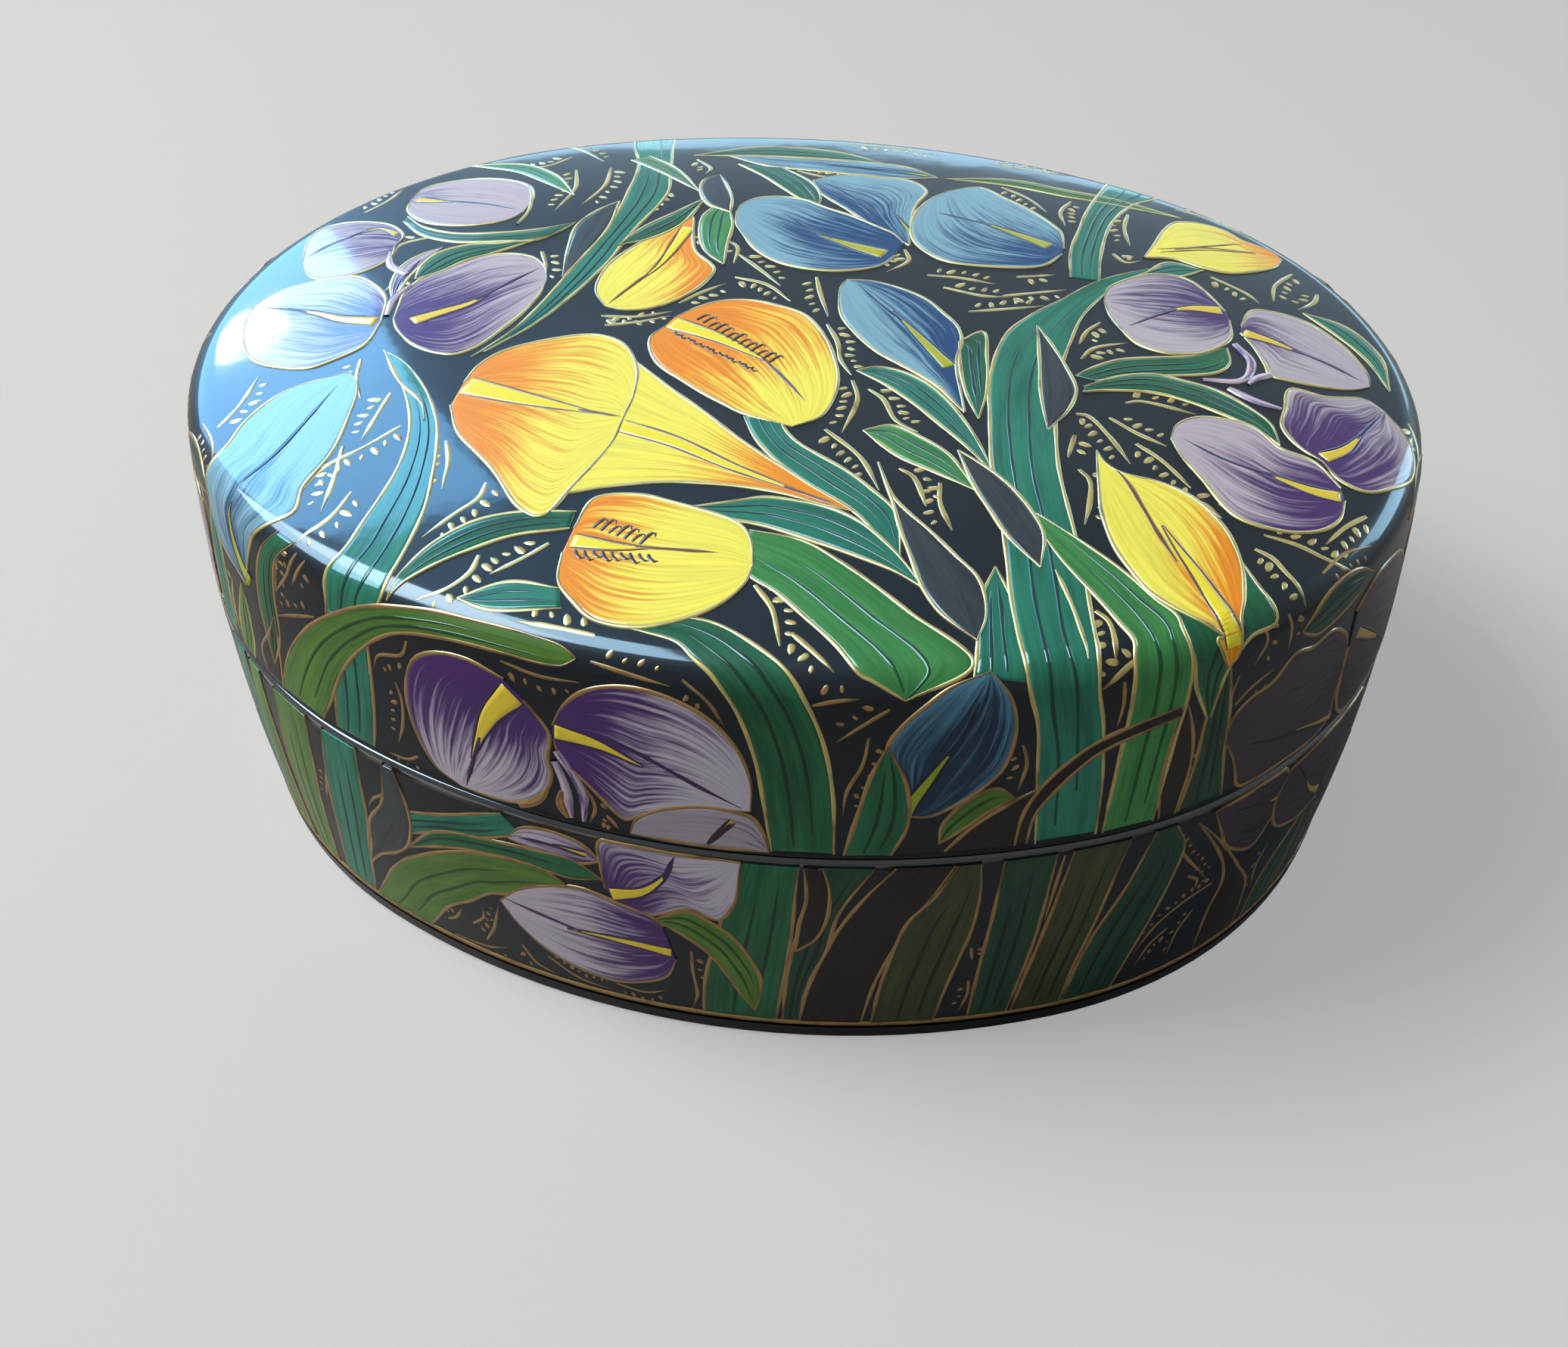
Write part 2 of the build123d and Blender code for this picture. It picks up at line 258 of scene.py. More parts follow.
          (-7.8, 22.5),
           (-9, 21), (-9.2, 19.4)],
          [(5.8, 13.9), (4.9, 12), (3, 10.8), (0.1, 10.1), (-3.7, 10.8), (-6.1, 12.7), (-7.8, 15.3),
          (-8.8, 17.2),
           (-9.2, 19.4)],
          (1.2, -1.25, -0.15, -0.25), [(5, 14), (2.2, 14.9), (-1.3, 16.3)],
          1.5, [(0, 15.9), (-2.6, 17.6), (-5.1, 19.9)]),
    Petal("blue", 3,
          [(20, 18.2), (19.5, 21.5), (18.3, 23.4), (16.4, 25.6), (14, 27.7), (11.5, 29.6), (8.9, 28)],
          [(19.9, 17.2), (18.3, 14.6), (14.1, 13.7), (10.6, 13.8), (8.7, 14.9), (7.2, 16.8), (6.5, 19.4),
          (6.6, 23),
           (7.5, 25.8), (8.9, 28)],
          (1.0, -1.15, 0.1, -0.25), [(18.8, 18.4), (15.5, 20.2), (12, 22)],
          1.1, [(13.4, 21.3), (10.6, 22.2), (8, 23)]),
    Petal("blue", 2,
          [(14.5, -9.7), (13.7, -6.1), (13, -2.3), (13.1, 0.6), (12.5, 3), (11, 5.1), (9.4, 7), (7, 8.4),
          (4.6, 9.1),
           (2.5, 8.9)],
          [(14.5, -9.7), (13.4, -8.2), (12, -6.3), (8.9, -3.8), (6.8, -2.3), (4.9, -0.1), (3.2, 2.5),
          (2.5, 4.9),
           (2.2, 7.7), (2.5, 8.9)],
          (0.9, -0.65, -0.55, -0.2), [(12.6, -3.4), (10.1, 0.1), (8.4, 2.5), (7, 4.4)], 1.1,
          [(8, 3), (5.6, 5.6), (3.5, 8.3)]),
    Petal("blue", 1,
          [(6.8, 16.1), (3.6, 18.7), (0.4, 21.9), (-2.6, 25), (-3.7, 27.6)],
          [(6.8, 16.1), (6.4, 20.1), (6.3, 24), (6.8, 27.6), (5, 29.6), (1.9, 29.6), (-1.6, 29.4),
          (-3.7, 27.6)],
          (0.6, -0.3, -0.35, 0), [(6.5, 18.6), (4.6, 22)], 0.4, [(3.2, 21.6), (0, 25), (-2.6, 27.2)]),
    Petal("blue", 1,
          [(7.5, 31), (4.4, 33), (0.1, 33.4), (-4.9, 33.2), (-10, 32.8), (-13, 32.3)],
          [(7.5, 31), (4.2, 30), (0, 29.9), (-4.3, 30), (-8.9, 30.4), (-13, 32.3)],
          (0.85, -0.5, 0, -0.3), [(6.6, 31.2), (3, 31.8)], 0.5, [(3.6, 31.7), (-4, 31.8)]),
    Petal("blue", 2,
          [W(-38.5, 8.6), W(-36.6, 13.5), (-30.7, -30.2), (-31, -27.3), (-30.4, -23.5), (-30.7, -19.5),
          (-31.7, -14.7),
           (-33, -13)],
          [W(-38.5, 8.6), W(-43.5, 10.6), W(-45, 14.5), (-38.9, -23.5), (-38.6, -20), (-37, -16), (-33, -13)],
          (0.85, -1.1, 0, -0.2), [W(-37.7, 9.2), W(-38.8, 10.2), W(-39.8, 12.2), (-36.3, -28.4)],
          1.3, [W(-40.2, 15.8), (-34.6, -24), (-33.2, -15)]),
)

TOP_LEAVES = (
    Leaf("teal", 1, [W(-28.2, 8), W(-27.8, 13), (-26.4, -34.7), (-25.6, -33.6), (-25.2, -30.5),
        (-24.8, -25.4),
                     (-25.2, -21.4), (-26.4, -17.6), (-29, -13), (-31.5, -9.6)],
         [W(-24.2, 8), W(-23.8, 13), (-22, -37), (-21.5, -35.6), (-21.3, -33.6), (-21.3, -29.2), (-22, -25.1),
          (-23.7, -19.1), (-26.2, -14.6), (-29.5, -10.8), (-31.5, -9.6)]),
    Leaf("teal", 1, [(-24.3, -9.4), (-22.4, -4.7), (-21.4, 0.1), (-20.5, 7.2), (-20.1, 12), (-19.6, 16),
        (-19.8, 21.5),
                     (-20.5, 28.2), (-22.2, 33), W(169.6, 14), W(170.4, 8)],
         [(-23.6, -8.5), (-21, -3.5), (-19.8, 0.1), (-18.1, 7.2), (-17.4, 13.4), (-16.2, 21.8), (-17.1, 26.8),
          (-18.4, 33), W(165.6, 14), W(166.2, 8)]),
    Leaf("green", 3, [(-38.1, 13.7), (-35.7, 11.5), (-32.4, 10.6), (-28.6, 11.3), (-25.5, 12.5),
        (-22.6, 14.4)],
         [(-38.1, 12.6), (-35.2, 9.9), (-32, 9), (-28, 9.7), (-24.9, 10.6), (-22.6, 14.4)]),
    Leaf("green", 3, [(-33, 1.8), (-33.3, 4.2), (-32.6, 6.8), (-30.5, 8.6), (-27.2, 9.6), (-24.2, 11.4)],
         [(-33, 1.8), (-31.4, 3.4), (-29.8, 5.8), (-27.7, 7.8), (-24.2, 11.4)]),
    Leaf("bud", 2, [(-20, 19.4), (-21.4, 17.2), (-22.4, 14.1), (-22.1, 10.3), (-21, 4.5)],
         [(-20, 19.4), (-19.6, 14), (-20.2, 9), (-21, 4.5)]),
    Leaf("green", 4, [(-12.8, 21), (-14.4, 18.2), (-16.6, 14.6), (-17.8, 11)],
         [(-12.6, 20.6), (-13.5, 15.8), (-15.4, 12.8), (-17.8, 11)]),
    Leaf("fresh", 4, [(-11.2, 20.2), (-11.9, 18), (-11.7, 15.5), (-10.3, 11.5), (-8.2, 9.4)],
         [(-9.8, 19.4), (-9, 16.6), (-8.7, 13), (-8.2, 9.4)]),
    Leaf("bud", 5, [(-9.7, 19), (-12.1, 20.4), (-13.4, 23.1), (-13.5, 25.5), (-12.4, 26.9)],
         [(-9.7, 19), (-10.2, 22), (-11.3, 24.8), (-12.4, 26.9)]),
    Leaf("olive", 2, [(-21.5, 29.3), (-17.9, 26.6), (-13.4, 22.9)],
        [(-20.1, 30.7), (-16.8, 27.9), (-13.4, 22.9)]),
    Leaf("green", 2, [(-11.3, 30.1), (-8.5, 27.7), (-4.7, 23.7), (-2.3, 21.6)],
         [(-7, 30), (-3.6, 26.8), (-2.4, 24), (-2.3, 21.6)]),
    Leaf("teal", 2, [W(24.3, 0.7), W(23.9, 6.2), W(23.5, 11.5), (21.9, -36.9), (20.3, -32), (19, -25.1),
        (18.1, -20.5),
                     (17.2, -16.4), (16.4, -9.9), (15.9, -5.6), (16, -0.4), (16.6, 3), (18, 5.8), (20.2, 8.8),
                     (23.5, 13.2), (28.4, 17)],
         [W(28.7, 0.7), W(28.6, 5.3), W(28.1, 10.7), W(27.5, 14.2), (25.7, -32.8), (24.6, -27.4),
         (23.5, -22.6), (22, -16),
          (21.4, -11.1), (21, -5), (21.2, -1.1), (21.6, 2.5), (22.3, 6.8), (23.8, 10.6), (25.6, 13.6),
          (28.4, 17)]),
    Leaf("bud", 3, [(18.8, 4.4), (19.4, -1), (19.9, -6), (20.8, -10.9)],
         [(18.8, 4.4), (20.4, 1.1), (21.6, -1.8), (22.5, -4.7), (22.1, -7.8), (20.8, -10.9)]),
    Leaf("teal", 1, [(18.4, -37.6), (18.2, -34), (18, -31), (18.6, -27.6)],
        [(21.8, -36.9), (20.9, -34), (20.2, -31), (18.6, -27.6)]),
    Leaf("fresh", 3, [W(29.2, 0.7), W(29.6, 7.1), W(30, 11.8), (28.4, -33.6), (28.2, -32.5), (27.1, -31.1),
        (25, -28.5),
                      (22.8, -25.8), (20.8, -22.3)],
         [W(33.1, 0.7), W(33.7, 7.3), W(34.3, 11.5), (32, -31.7), (31.3, -30.7), (30.8, -29.5), (29.5, -28.5),
          (27.9, -26.9), (25.8, -25.1), (23.3, -23.2), (20.8, -21.4)]),
    Leaf("green", 2, [W(36.2, 9), W(34.9, 12.1), W(34.5, 14.5), (31.1, -30.6), (29.8, -28.4)],
         [W(36.5, 9), W(37.5, 12.8), W(39.2, 14.6), (37.6, -27.3), (36.4, -25.6), (34.6, -22.4)]),
    Leaf("green", 2, [(22.3, -2.8), (23.5, -1.3), (25.4, 0.3), (28.3, 1.3), (31.1, 2.2), (33.9, 4.2)],
         [(23.8, -3.2), (26.4, -2), (28.3, -1.5), (33, 0.1), (34.1, 1.8), (33.9, 4.2)]),
    Leaf("green", 3, [(23, -4.3), (25.6, -2.2), (28.3, -1.3), (30.7, -1.8), (33, -2.5), (35.4, -4.2),
        (37.1, -6.1),
                      (37.8, -8.8)],
         [(23, -5), (24.7, -4.4), (28.3, -4), (31.1, -4.7), (33.8, -5.9), (35.9, -7), (37.8, -8.8)]),
    Leaf("teal", 1, [(-1.6, -13.5), (-0.4, -15.9), (1, -17.8), (3.4, -20.2), (4.9, -21.4), (8.4, -23.8),
        (12.3, -28.6)],
         [(0.5, -12.4), (2.5, -15.7), (7, -19), (9.1, -20.9), (11.2, -23.3), (12.3, -28.6)]),
    Leaf("teal", 3, [(-3.2, -25.6), (0.1, -24.2), (2, -23.4), (4.4, -23.4), (6.8, -23.8), (9.1, -25),
        (11.8, -27.6),
                     (14.2, -30.8)],
         [(-3.2, -25.6), (-0.1, -26.3), (2.2, -26.5), (7.7, -28), (12, -29.5), (14.2, -30.8)]),
    Leaf("fresh", 2, [W(14.6, 14.2), (18.2, -36.8), (13.7, -33.3), (10.6, -30.9), (8.2, -29.2), (5.3, -27.6),
                      (1.6, -27.2)],
         [W(14.6, 14.2), W(12.4, 15.6), (11.2, -39), (9.4, -37.1), (7.2, -35.2), (4.6, -33), (2.7, -31.9),
         (1, -30)]),
    Leaf("teal", 1, [(-16.2, -37), (-13.2, -35), (-9.6, -35.1)], [(-16.2, -37), (-13.7, -37.7), (-9, -36.9)]),
    Leaf("green", 1, [W(6, 0.7), W(5.5, 5), W(4.9, 8.9), W(3.6, 12.9), (1.9, -40.5), (0.5, -39.7),
        (-0.8, -38.6),
                      (-3, -38.1), (-5.6, -37.8)],
         [W(10.3, 0.7), W(10.1, 6.2), W(9.4, 10.5), W(8.2, 13.8), (6.8, -39.8), (3.9, -37.8), (1, -36.5),
         (-1.7, -36.4),
          (-5.6, -36.6)]),
    Leaf("green", 3, [(-10.6, -27.4), (-14, -27.9), (-16.7, -29), (-18.3, -30.4), (-19.8, -32.6),
        (-21.3, -37)],
         [(-10.6, -29.2), (-14.2, -30.5), (-16.7, -32.3), (-18.8, -34.2), (-21.3, -37)]),
    Leaf("fresh", 1, [(7.4, -13.6), (9.4, -12.5), (11.8, -13.7), (14, -15.5), (16.4, -19.6)],
         [(7.4, -13.6), (10.6, -16.6), (13, -17.8), (16.4, -19.6)]),
    Leaf("teal", 1, [(5.6, -5.3), (7, -4.5), (8.9, -4.7), (11, -5.9), (12.7, -7.8), (14.1, -9.9),
        (15.8, -13.2),
                     (17.4, -17.2)],
         [(5.6, -5.3), (8.2, -7), (10.6, -9.2), (13, -11.8), (15.3, -14.4), (17.4, -17.2)]),
    Leaf("bud", 4, [(9.1, -17.6), (10.8, -22.1), (11.7, -24.9), (12.9, -27.9), (14.1, -30.8), (15.4, -32.7),
        (16.7, -33.8),
                    (18.2, -34.8)],
         [(9.1, -17.6), (10.8, -21.6), (12, -23.1), (13.8, -24.9), (16, -27.3), (17.5, -28.9), (18.2, -30.6),
          (18.5, -32.6), (18.2, -34.8)]),
    Leaf("bud", 4, [(14.6, -14.9), (16.2, -19.1), (17.7, -21.9), (19.3, -24.6), (21.6, -27.1)],
         [(14.6, -14.9), (17.2, -17), (19, -19), (20.5, -21.3), (21.5, -23.6), (21.6, -27.1)]),
    Leaf("green", 2, [(12.9, 0.6), (14.6, 2.6), (15.3, -1.3), (15.8, -6), (15.6, -10.4)],
         [(12.9, 0.6), (13.4, -3), (14.2, -6.6), (15.6, -10.4)]),
    Leaf("teal", 1, [(20.9, 13.1), (20.6, 17.9), (21, 21.9), (21.6, 27.4), (22.6, 32.5), W(121.6, 13.5),
        W(121.4, 6)],
         [(23.3, 12.9), (23.2, 17.2), (23.5, 22.6), (24.2, 26.4), (25.8, 30.4), (27.6, 32.6), W(117, 13.5),
         W(117.6, 6)]),
    Leaf("olive", 1, [(8.2, 31), (14.1, 32.6), (19.5, 31.6), (24, 30.8), (30, 28.4)],
         [(8.2, 31), (14.2, 31), (19.5, 29.9), (23.7, 29.4), (30, 28.4)]),
    Leaf("green", 1, [(-16, 31.6), (-10, 35.4), (-3, 35.6), (2, 33.6)],
        [(-16, 31.6), (-10, 32.6), (-4, 33), (2, 33.6)]),
    Leaf("teal", 2, [(27, 15.2), (29, 18), (32, 17.4)], [(27, 15.2), (29.6, 15.4), (32, 17.4)]),
    Leaf("fresh", 1, [(-36.5, 26.5), (-31.5, 27), (-27.6, 24.6), (-24.4, 20)],
        [(-36.5, 26.5), (-31.5, 25), (-28, 22.6),
                                                                             (-24.4, 20)]),
    Leaf("teal", 1, [W(-46.4, 0.7), W(-46, 5), W(-45.4, 9.5), W(-44.2, 13.4)],
        [W(-43.2, 0.7), W(-43, 5), W(-43.1, 9), W(-44.2, 13.4)]),
    Leaf("olive", 1, [W(-42, 0.7), W(-41.6, 3.4), W(-40.6, 6), W(-39.6, 8.2)],
        [W(-39.9, 0.7), W(-39.2, 3), W(-39.1, 5.6), W(-39.6, 8.2)]),
    Leaf("teal", 1, [(40.2, 12.4), (43.6, 11.4), (46.2, 7.4), (46.6, 2)],
        [(40.2, 12.4), (42.6, 9.8), (45, 6.4), (46.6, 2)]),
)

# Rows of short brown ticks beside a tulip's vein: from, to, how many, and one tick
TOP_COMBS = (
    ((-8.3, -0.3), (-1.3, -5.6), 13, (0.35, 1.0)),
    ((-9.5, -2.5), (-2.4, -6.6), 13, (-0.2, -0.5)),
    ((-9, -29), (-5.4, -30.1), 7, (0.25, 1.1)),
    ((-9.6, -31.4), (-4.6, -31), 9, (0.3, -0.8)),
)

# Filaments between the iris petals, in white and purple, and gold lines that lie inside a leaf
TOP_FILAMENTS = (
    ("#C9BECB", "#6A4A86", [(34.5, 5), (35.8, 2.5), (35, -0.5), (32, -1.2)]),
    ("#C9BECB", "#8A78A0", [(34, -2), (36, -3.2), (38, -3.8)]),
    ("#C9BECB", "#8A78A0", [(37.3, 1), (36.2, 0.2), (35.5, -1)]),
    ("#C9BECB", "#6A4A86", [(-33.2, -4.4), (-33.6, -1.6), (-33, 0.8)]),
    ("#C9BECB", "#8A78A0", [(-34, 2.6), (-36, 4), (-37, 6.4)]),
)
WALL_FILAMENTS = (
    ("#B7ABB9", "#43246B", [(-9, 7), (-8, 5.4), (-7.2, 3.4), (-7.3, 0.9)]),
    ("#B7ABB9", "#8A78A0", [(-9.2, 6), (-8.6, 4.2), (-8.2, 1)]),
    ("#9A7B48", "#6A4A28", [(-8.7, 3.4), (-9, 2), (-8.5, 0.9)]),
    ("#9A7B48", "#6A4A28", [(-12.3, 0.8), (-10.8, 1.7), (-9.8, 3.4)]),
)
TOP_LINES = (
    [(-31.4, -9.6), (-28.6, -13.8), (-25.9, -16.4), (-24.9, -18.6)],
    [(22.6, -27.1), (23.3, -28.7), (24.1, -30.7), (25, -33.3), (25.4, -34.6)],
    [(-27.7, 13.2), (-27.5, 15.8), (-28.3, 19.4), (-29.3, 21.6)],
)

# Curved strokes of gold on the bare ground, most of them with a row of dots beside them
TOP_SPRIGS = (
    [(-22.4, -20.8), (-21.5, -23), (-20.8, -26.4)], [(-17.9, -25.2), (-17.9, -26.9), (-19, -28.8),
        (-20.5, -31.6)],
    [(-11.6, -30.9), (-12.5, -32.1), (-14.7, -34.5)], [(-16, -32.8), (-16.1, -34.5), (-17.4, -36.4),
        (-19, -37.2)],
    [(4.6, -14), (7.7, -17.1), (9.7, -21)], [(10.7, -18), (11.8, -18.8), (13.2, -22.2)],
    [(13.8, -19.2), (14.1, -21.6), (15.3, -24.5)], [(3.1, -32.6), (4.6, -34.5), (5.8, -37.8)],
    [(6.3, -36.5), (7.7, -37.6), (9.6, -39.2)], [(23.4, -15.5), (24.2, -16.6), (24.4, -19.2), (24.2, -21.9)],
    [(25.5, -30.4), (26.4, -31.1), (27.2, -34.2)],
    [(36.5, -19.8), (38.8, -20.2), (41.1, -21.1), (43, -20.7)], [(35.9, -21.5), (37.1, -22.1), (38, -23.3),
        (39.6, -25.2)],
    [(43.8, -15.4), (42.3, -17.1), (40.8, -19.5)], [(-6.8, 7.5), (-4, 6.8), (-1.5, 4.4)],
    [(-7.3, 11.5), (-4.7, 8.9), (-2.8, 6.8)], [(-0.1, 8.9), (0.6, 6.5), (2, 2.5)],
        [(2.1, 1.3), (3.4, -1.3), (4.1, -4), (5.3, -6.1)],
    [(5.5, -6.8), (6.3, -9.4), (5.9, -14.2)], [(6.9, -7.8), (8.2, -9), (9.6, -11.8), (11.4, -13)],
    [(-16.1, -1.1), (-13.2, -0.6), (-10.6, 0.8)], [(-15.4, -2.5), (-13, -1.5), (-10.6, 0)],
        [(-10.4, 2.2), (-9.2, 4.1), (-7.3, 6.3)],
    [(9, 11.1), (11.5, 11.2), (14.8, 10.7)], [(16.4, 12.3), (19.5, 13.3)],
        [(10.6, 9.3), (14, 8.5), (16.2, 8.7)],
    [(15.6, 8.8), (18, 9.8), (20.7, 10.9)], [(13.1, 5.6), (16.1, 6.7), (19.1, 7.8)],
        [(6.5, 15.3), (7.1, 13.3), (5.5, 10.9)],
    [(23.8, 6), (22.8, 4.4), (22.3, 2.2)], [(22.6, -0.1), (23.5, 1.8), (26.1, 3.2)],
    [(26.3, -5.9), (27.3, -5.4), (31.6, -6.3)], [(22.7, -8.2), (23.5, -8.2), (25.4, -10.9), (27, -14)],
    [(25.2, -8.2), (27.3, -9.9), (29.5, -11.1)], [(27.3, -11.3), (29.2, -13), (31.4, -15.9)],
        [(22.8, -11.1), (22.5, -14.2)],
    [(-28.7, -15.4), (-28.7, -18.6), (-28.7, -21.7)], [(-26.4, -19.5), (-28.2, -22.4), (-30.1, -24.8),
        (-30.8, -27.6)],
    [(-29.8, -22.5), (-29, -26.5), (-28.6, -30)], [(-27.2, -27.5), (-27.8, -30.5), (-29.6, -33)],
    [(-26, 26), (-24.8, 21.5), (-25.2, 16.5)], [(-22.9, 27), (-22.3, 22.6), (-23.2, 18)],
        [(-27.4, 29.5), (-29, 26.8), (-32.5, 25.6)],
    [(-24, 8.6), (-22.9, 6), (-22.9, 3.4)], [(-12.2, 14), (-8, 13.2), (-7.4, 9.8)],
        [(-16.4, 22.8), (-17.4, 19), (-18.4, 16)],
    [(-15.4, 30.6), (-13.6, 28.4), (-13.8, 27)], [(-5.6, 29.6), (-3, 28.7), (0.5, 28.9)],
    [(13.5, 30.4), (16, 28.4), (18, 25.6)], [(20, 28.8), (19.2, 26), (19.8, 23)],
        [(25.2, 27.4), (25, 24), (25.6, 20.4)],
    [(24.2, 18.4), (25.4, 17), (26.6, 17.6)], [(32.6, 16.4), (35.6, 14.2), (36.6, 12.8)],
        [(39.6, 19.8), (38, 16.6), (37.8, 13.6)],
    [(41.6, 16.6), (41.2, 14.8), (39.8, 12.8)],
    [(29.8, -17.2), (32.2, -17.4), (33.6, -18.8)],
    [(-34, 10), (-36.6, 8), (-36.4, 5)], [(-35, 4), (-34.6, 1.2), (-34.9, -0.6)],
        [(-40.5, -20.9), (-40, -17.9), (-40.1, -14.1)],
    [(-42.6, 14.6), (-41.4, 17.6), (-41, 20.6)], [(-32.8, -11.1), (-32, -14.1), (-30.7, -16.5)],
    [(-31.4, 33), (-27.6, 32), (-24, 28.6)], [(-1.6, 38.2), (3, 38.4), (7, 37.2)],
        [(12, 36.6), (16, 36), (20, 35.8)],
    [(30, -33), (28.6, -33.6), (26.6, -35.8)], [(14.6, -37.6), (12.6, -38.8)],
        [(-6.2, -38.9), (-8.8, -38.6), (-11.8, -38.4)],
    [(29.4, 30.4), (33, 29.4), (36.6, 26)], [(47.8, -2), (48.6, -5), (48.2, -8)],
    [W(-42.6, 1.8), W(-42.5, 4.8), W(-41.4, 7.8)], [W(-48, 15.2), W(-47.6, 12.6), W(-46.6, 10.2)],
)

# ---------------------------------------------------------------- what is painted round the walls
# (s, v): s runs along the seam from the middle of the front, v up the curve of the wall from it.

LID_WALL_PETALS = (
    Petal("lilac", 3, [(-12.6, 12), (-15.5, 12.7), (-17.8, 12.4), (-19.7, 11.3), (-20.6, 9.6), (-20.9, 7),
        (-20.3, 4),
                       (-19, 1.7), (-17, 0.7)],
          [(-11.2, 10.7), (-10, 9.3), (-9.4, 8.2), (-9.7, 6), (-9.5, 4.5), (-10.3, 2.5), (-12.4, 1),
          (-14.4, 0.7),
           (-17, 0.7)],
          (1.35, -1.35, -0.25, -0.1), [(-12, 11), (-14, 8.3), (-15.8, 3.9)],
          2.0, [(-14.9, 6.2), (-15.8, 3.4), (-16.6, 0.9)]),
    Petal("lilac", 4, [(-9.1, 9.2), (-8.4, 10.8), (-7, 12.4), (-5, 13.4), (-2.5, 13.6), (0, 13), (2.3, 11.5),
        (3.8, 9.5),
                       (4.6, 7), (4.6, 4.4)],
          [(-9.1, 8), (-8.6, 6.3), (-7, 4.8), (-5.5, 3.2), (-4.2, 2), (-3, 2.7), (-1, 3.6), (2, 4.2),
          (4.6, 4.4)],
          (1.2, -1.4, 0.0, -0.05), [(-9, 8.7), (-6, 8.4), (-2.7, 7.2)],
          1.2, [(-5.2, 9.2), (-2, 7.8), (1, 6.2), (4, 4.6)]),
    Petal("mauve", 5, [(5.9, 0.7), (5.6, 2), (4.8, 3.7), (3, 4.3), (1, 4.3), (-2, 3.3), (-3.5, 2),
        (-3.9, 0.7)],
          [(5.9, 0.7), (1, 0.65), (-3.9, 0.7)],
          (0.3, -0.3, 0, 0.1), [(3.4, 3.4), (1.6, 0.9)], 0.4, [(3.3, 3.1), (2.5, 2), (1.7, 0.8)]),
    # Painted darker, as painted shade
    Petal("slate", 4, [(15.1, 4.4), (14.6, 7), (13.8, 9), (13.6, 10.5), (14.5, 12.2), (16, 13.8), (17.5, 15),
        (20.2, 15.9)],
          [(15.1, 4.4), (16.6, 4.3), (18.5, 5.3), (20, 6.5), (21.3, 8), (21.9, 10), (22, 12), (21.5, 14),
          (20.2, 15.9)],
          (1.15, -0.6, 0.1, -0.5), [(14.8, 4), (15.5, 5.8), (16.7, 8), (18.3, 10.8)], 1.1,
          [(17.6, 9.6), (18.7, 11.6), (19.4, 13.9)]),
    # The petals at this end of the wall are painted darker, as painted shade
    Petal("dusk", 3, [(51, 6.4), (50.8, 9), (48.5, 11), (46, 10.8), (44, 11.2), (42, 9.7), (40, 9.2),
        (38.6, 8),
                       (38.3, 6)],
          [(50.8, 5), (50.2, 1.4), (45, 0.8), (40.5, 0.9), (39.9, 2.5), (39.4, 4), (38.3, 6)],
          (0.75, -1.0, -0.1, -0.2), [(51, 1.6), (49, 2.3), (46.4, 3.2), (44, 3.7)],
          0.5, [(46, 3.3), (43.4, 3.9), (40.6, 4.8)]),
)
MEETING_PETALS = (
    # Painted darker as painted shade, like its neighbour on the lid's wall
    Petal("dusk", 4, [(51.5, 11), (54, 12.4), (57, 12.3), (60.4, 11), (62.6, 8.6), (63.3, 5.4), (62.4, 1.4)],
          [(51.3, 8), (51.2, 3.6), (52.6, 1), (58, 0.8), (62.4, 1.4)],
          (1.0, -1.1, 0, -0.35), [(52.4, 8.6), (55.5, 6.5), (59.4, 3.6)],
          0.9, [(57.4, 5.2), (60, 3.2), (62, 1.7)]),
)
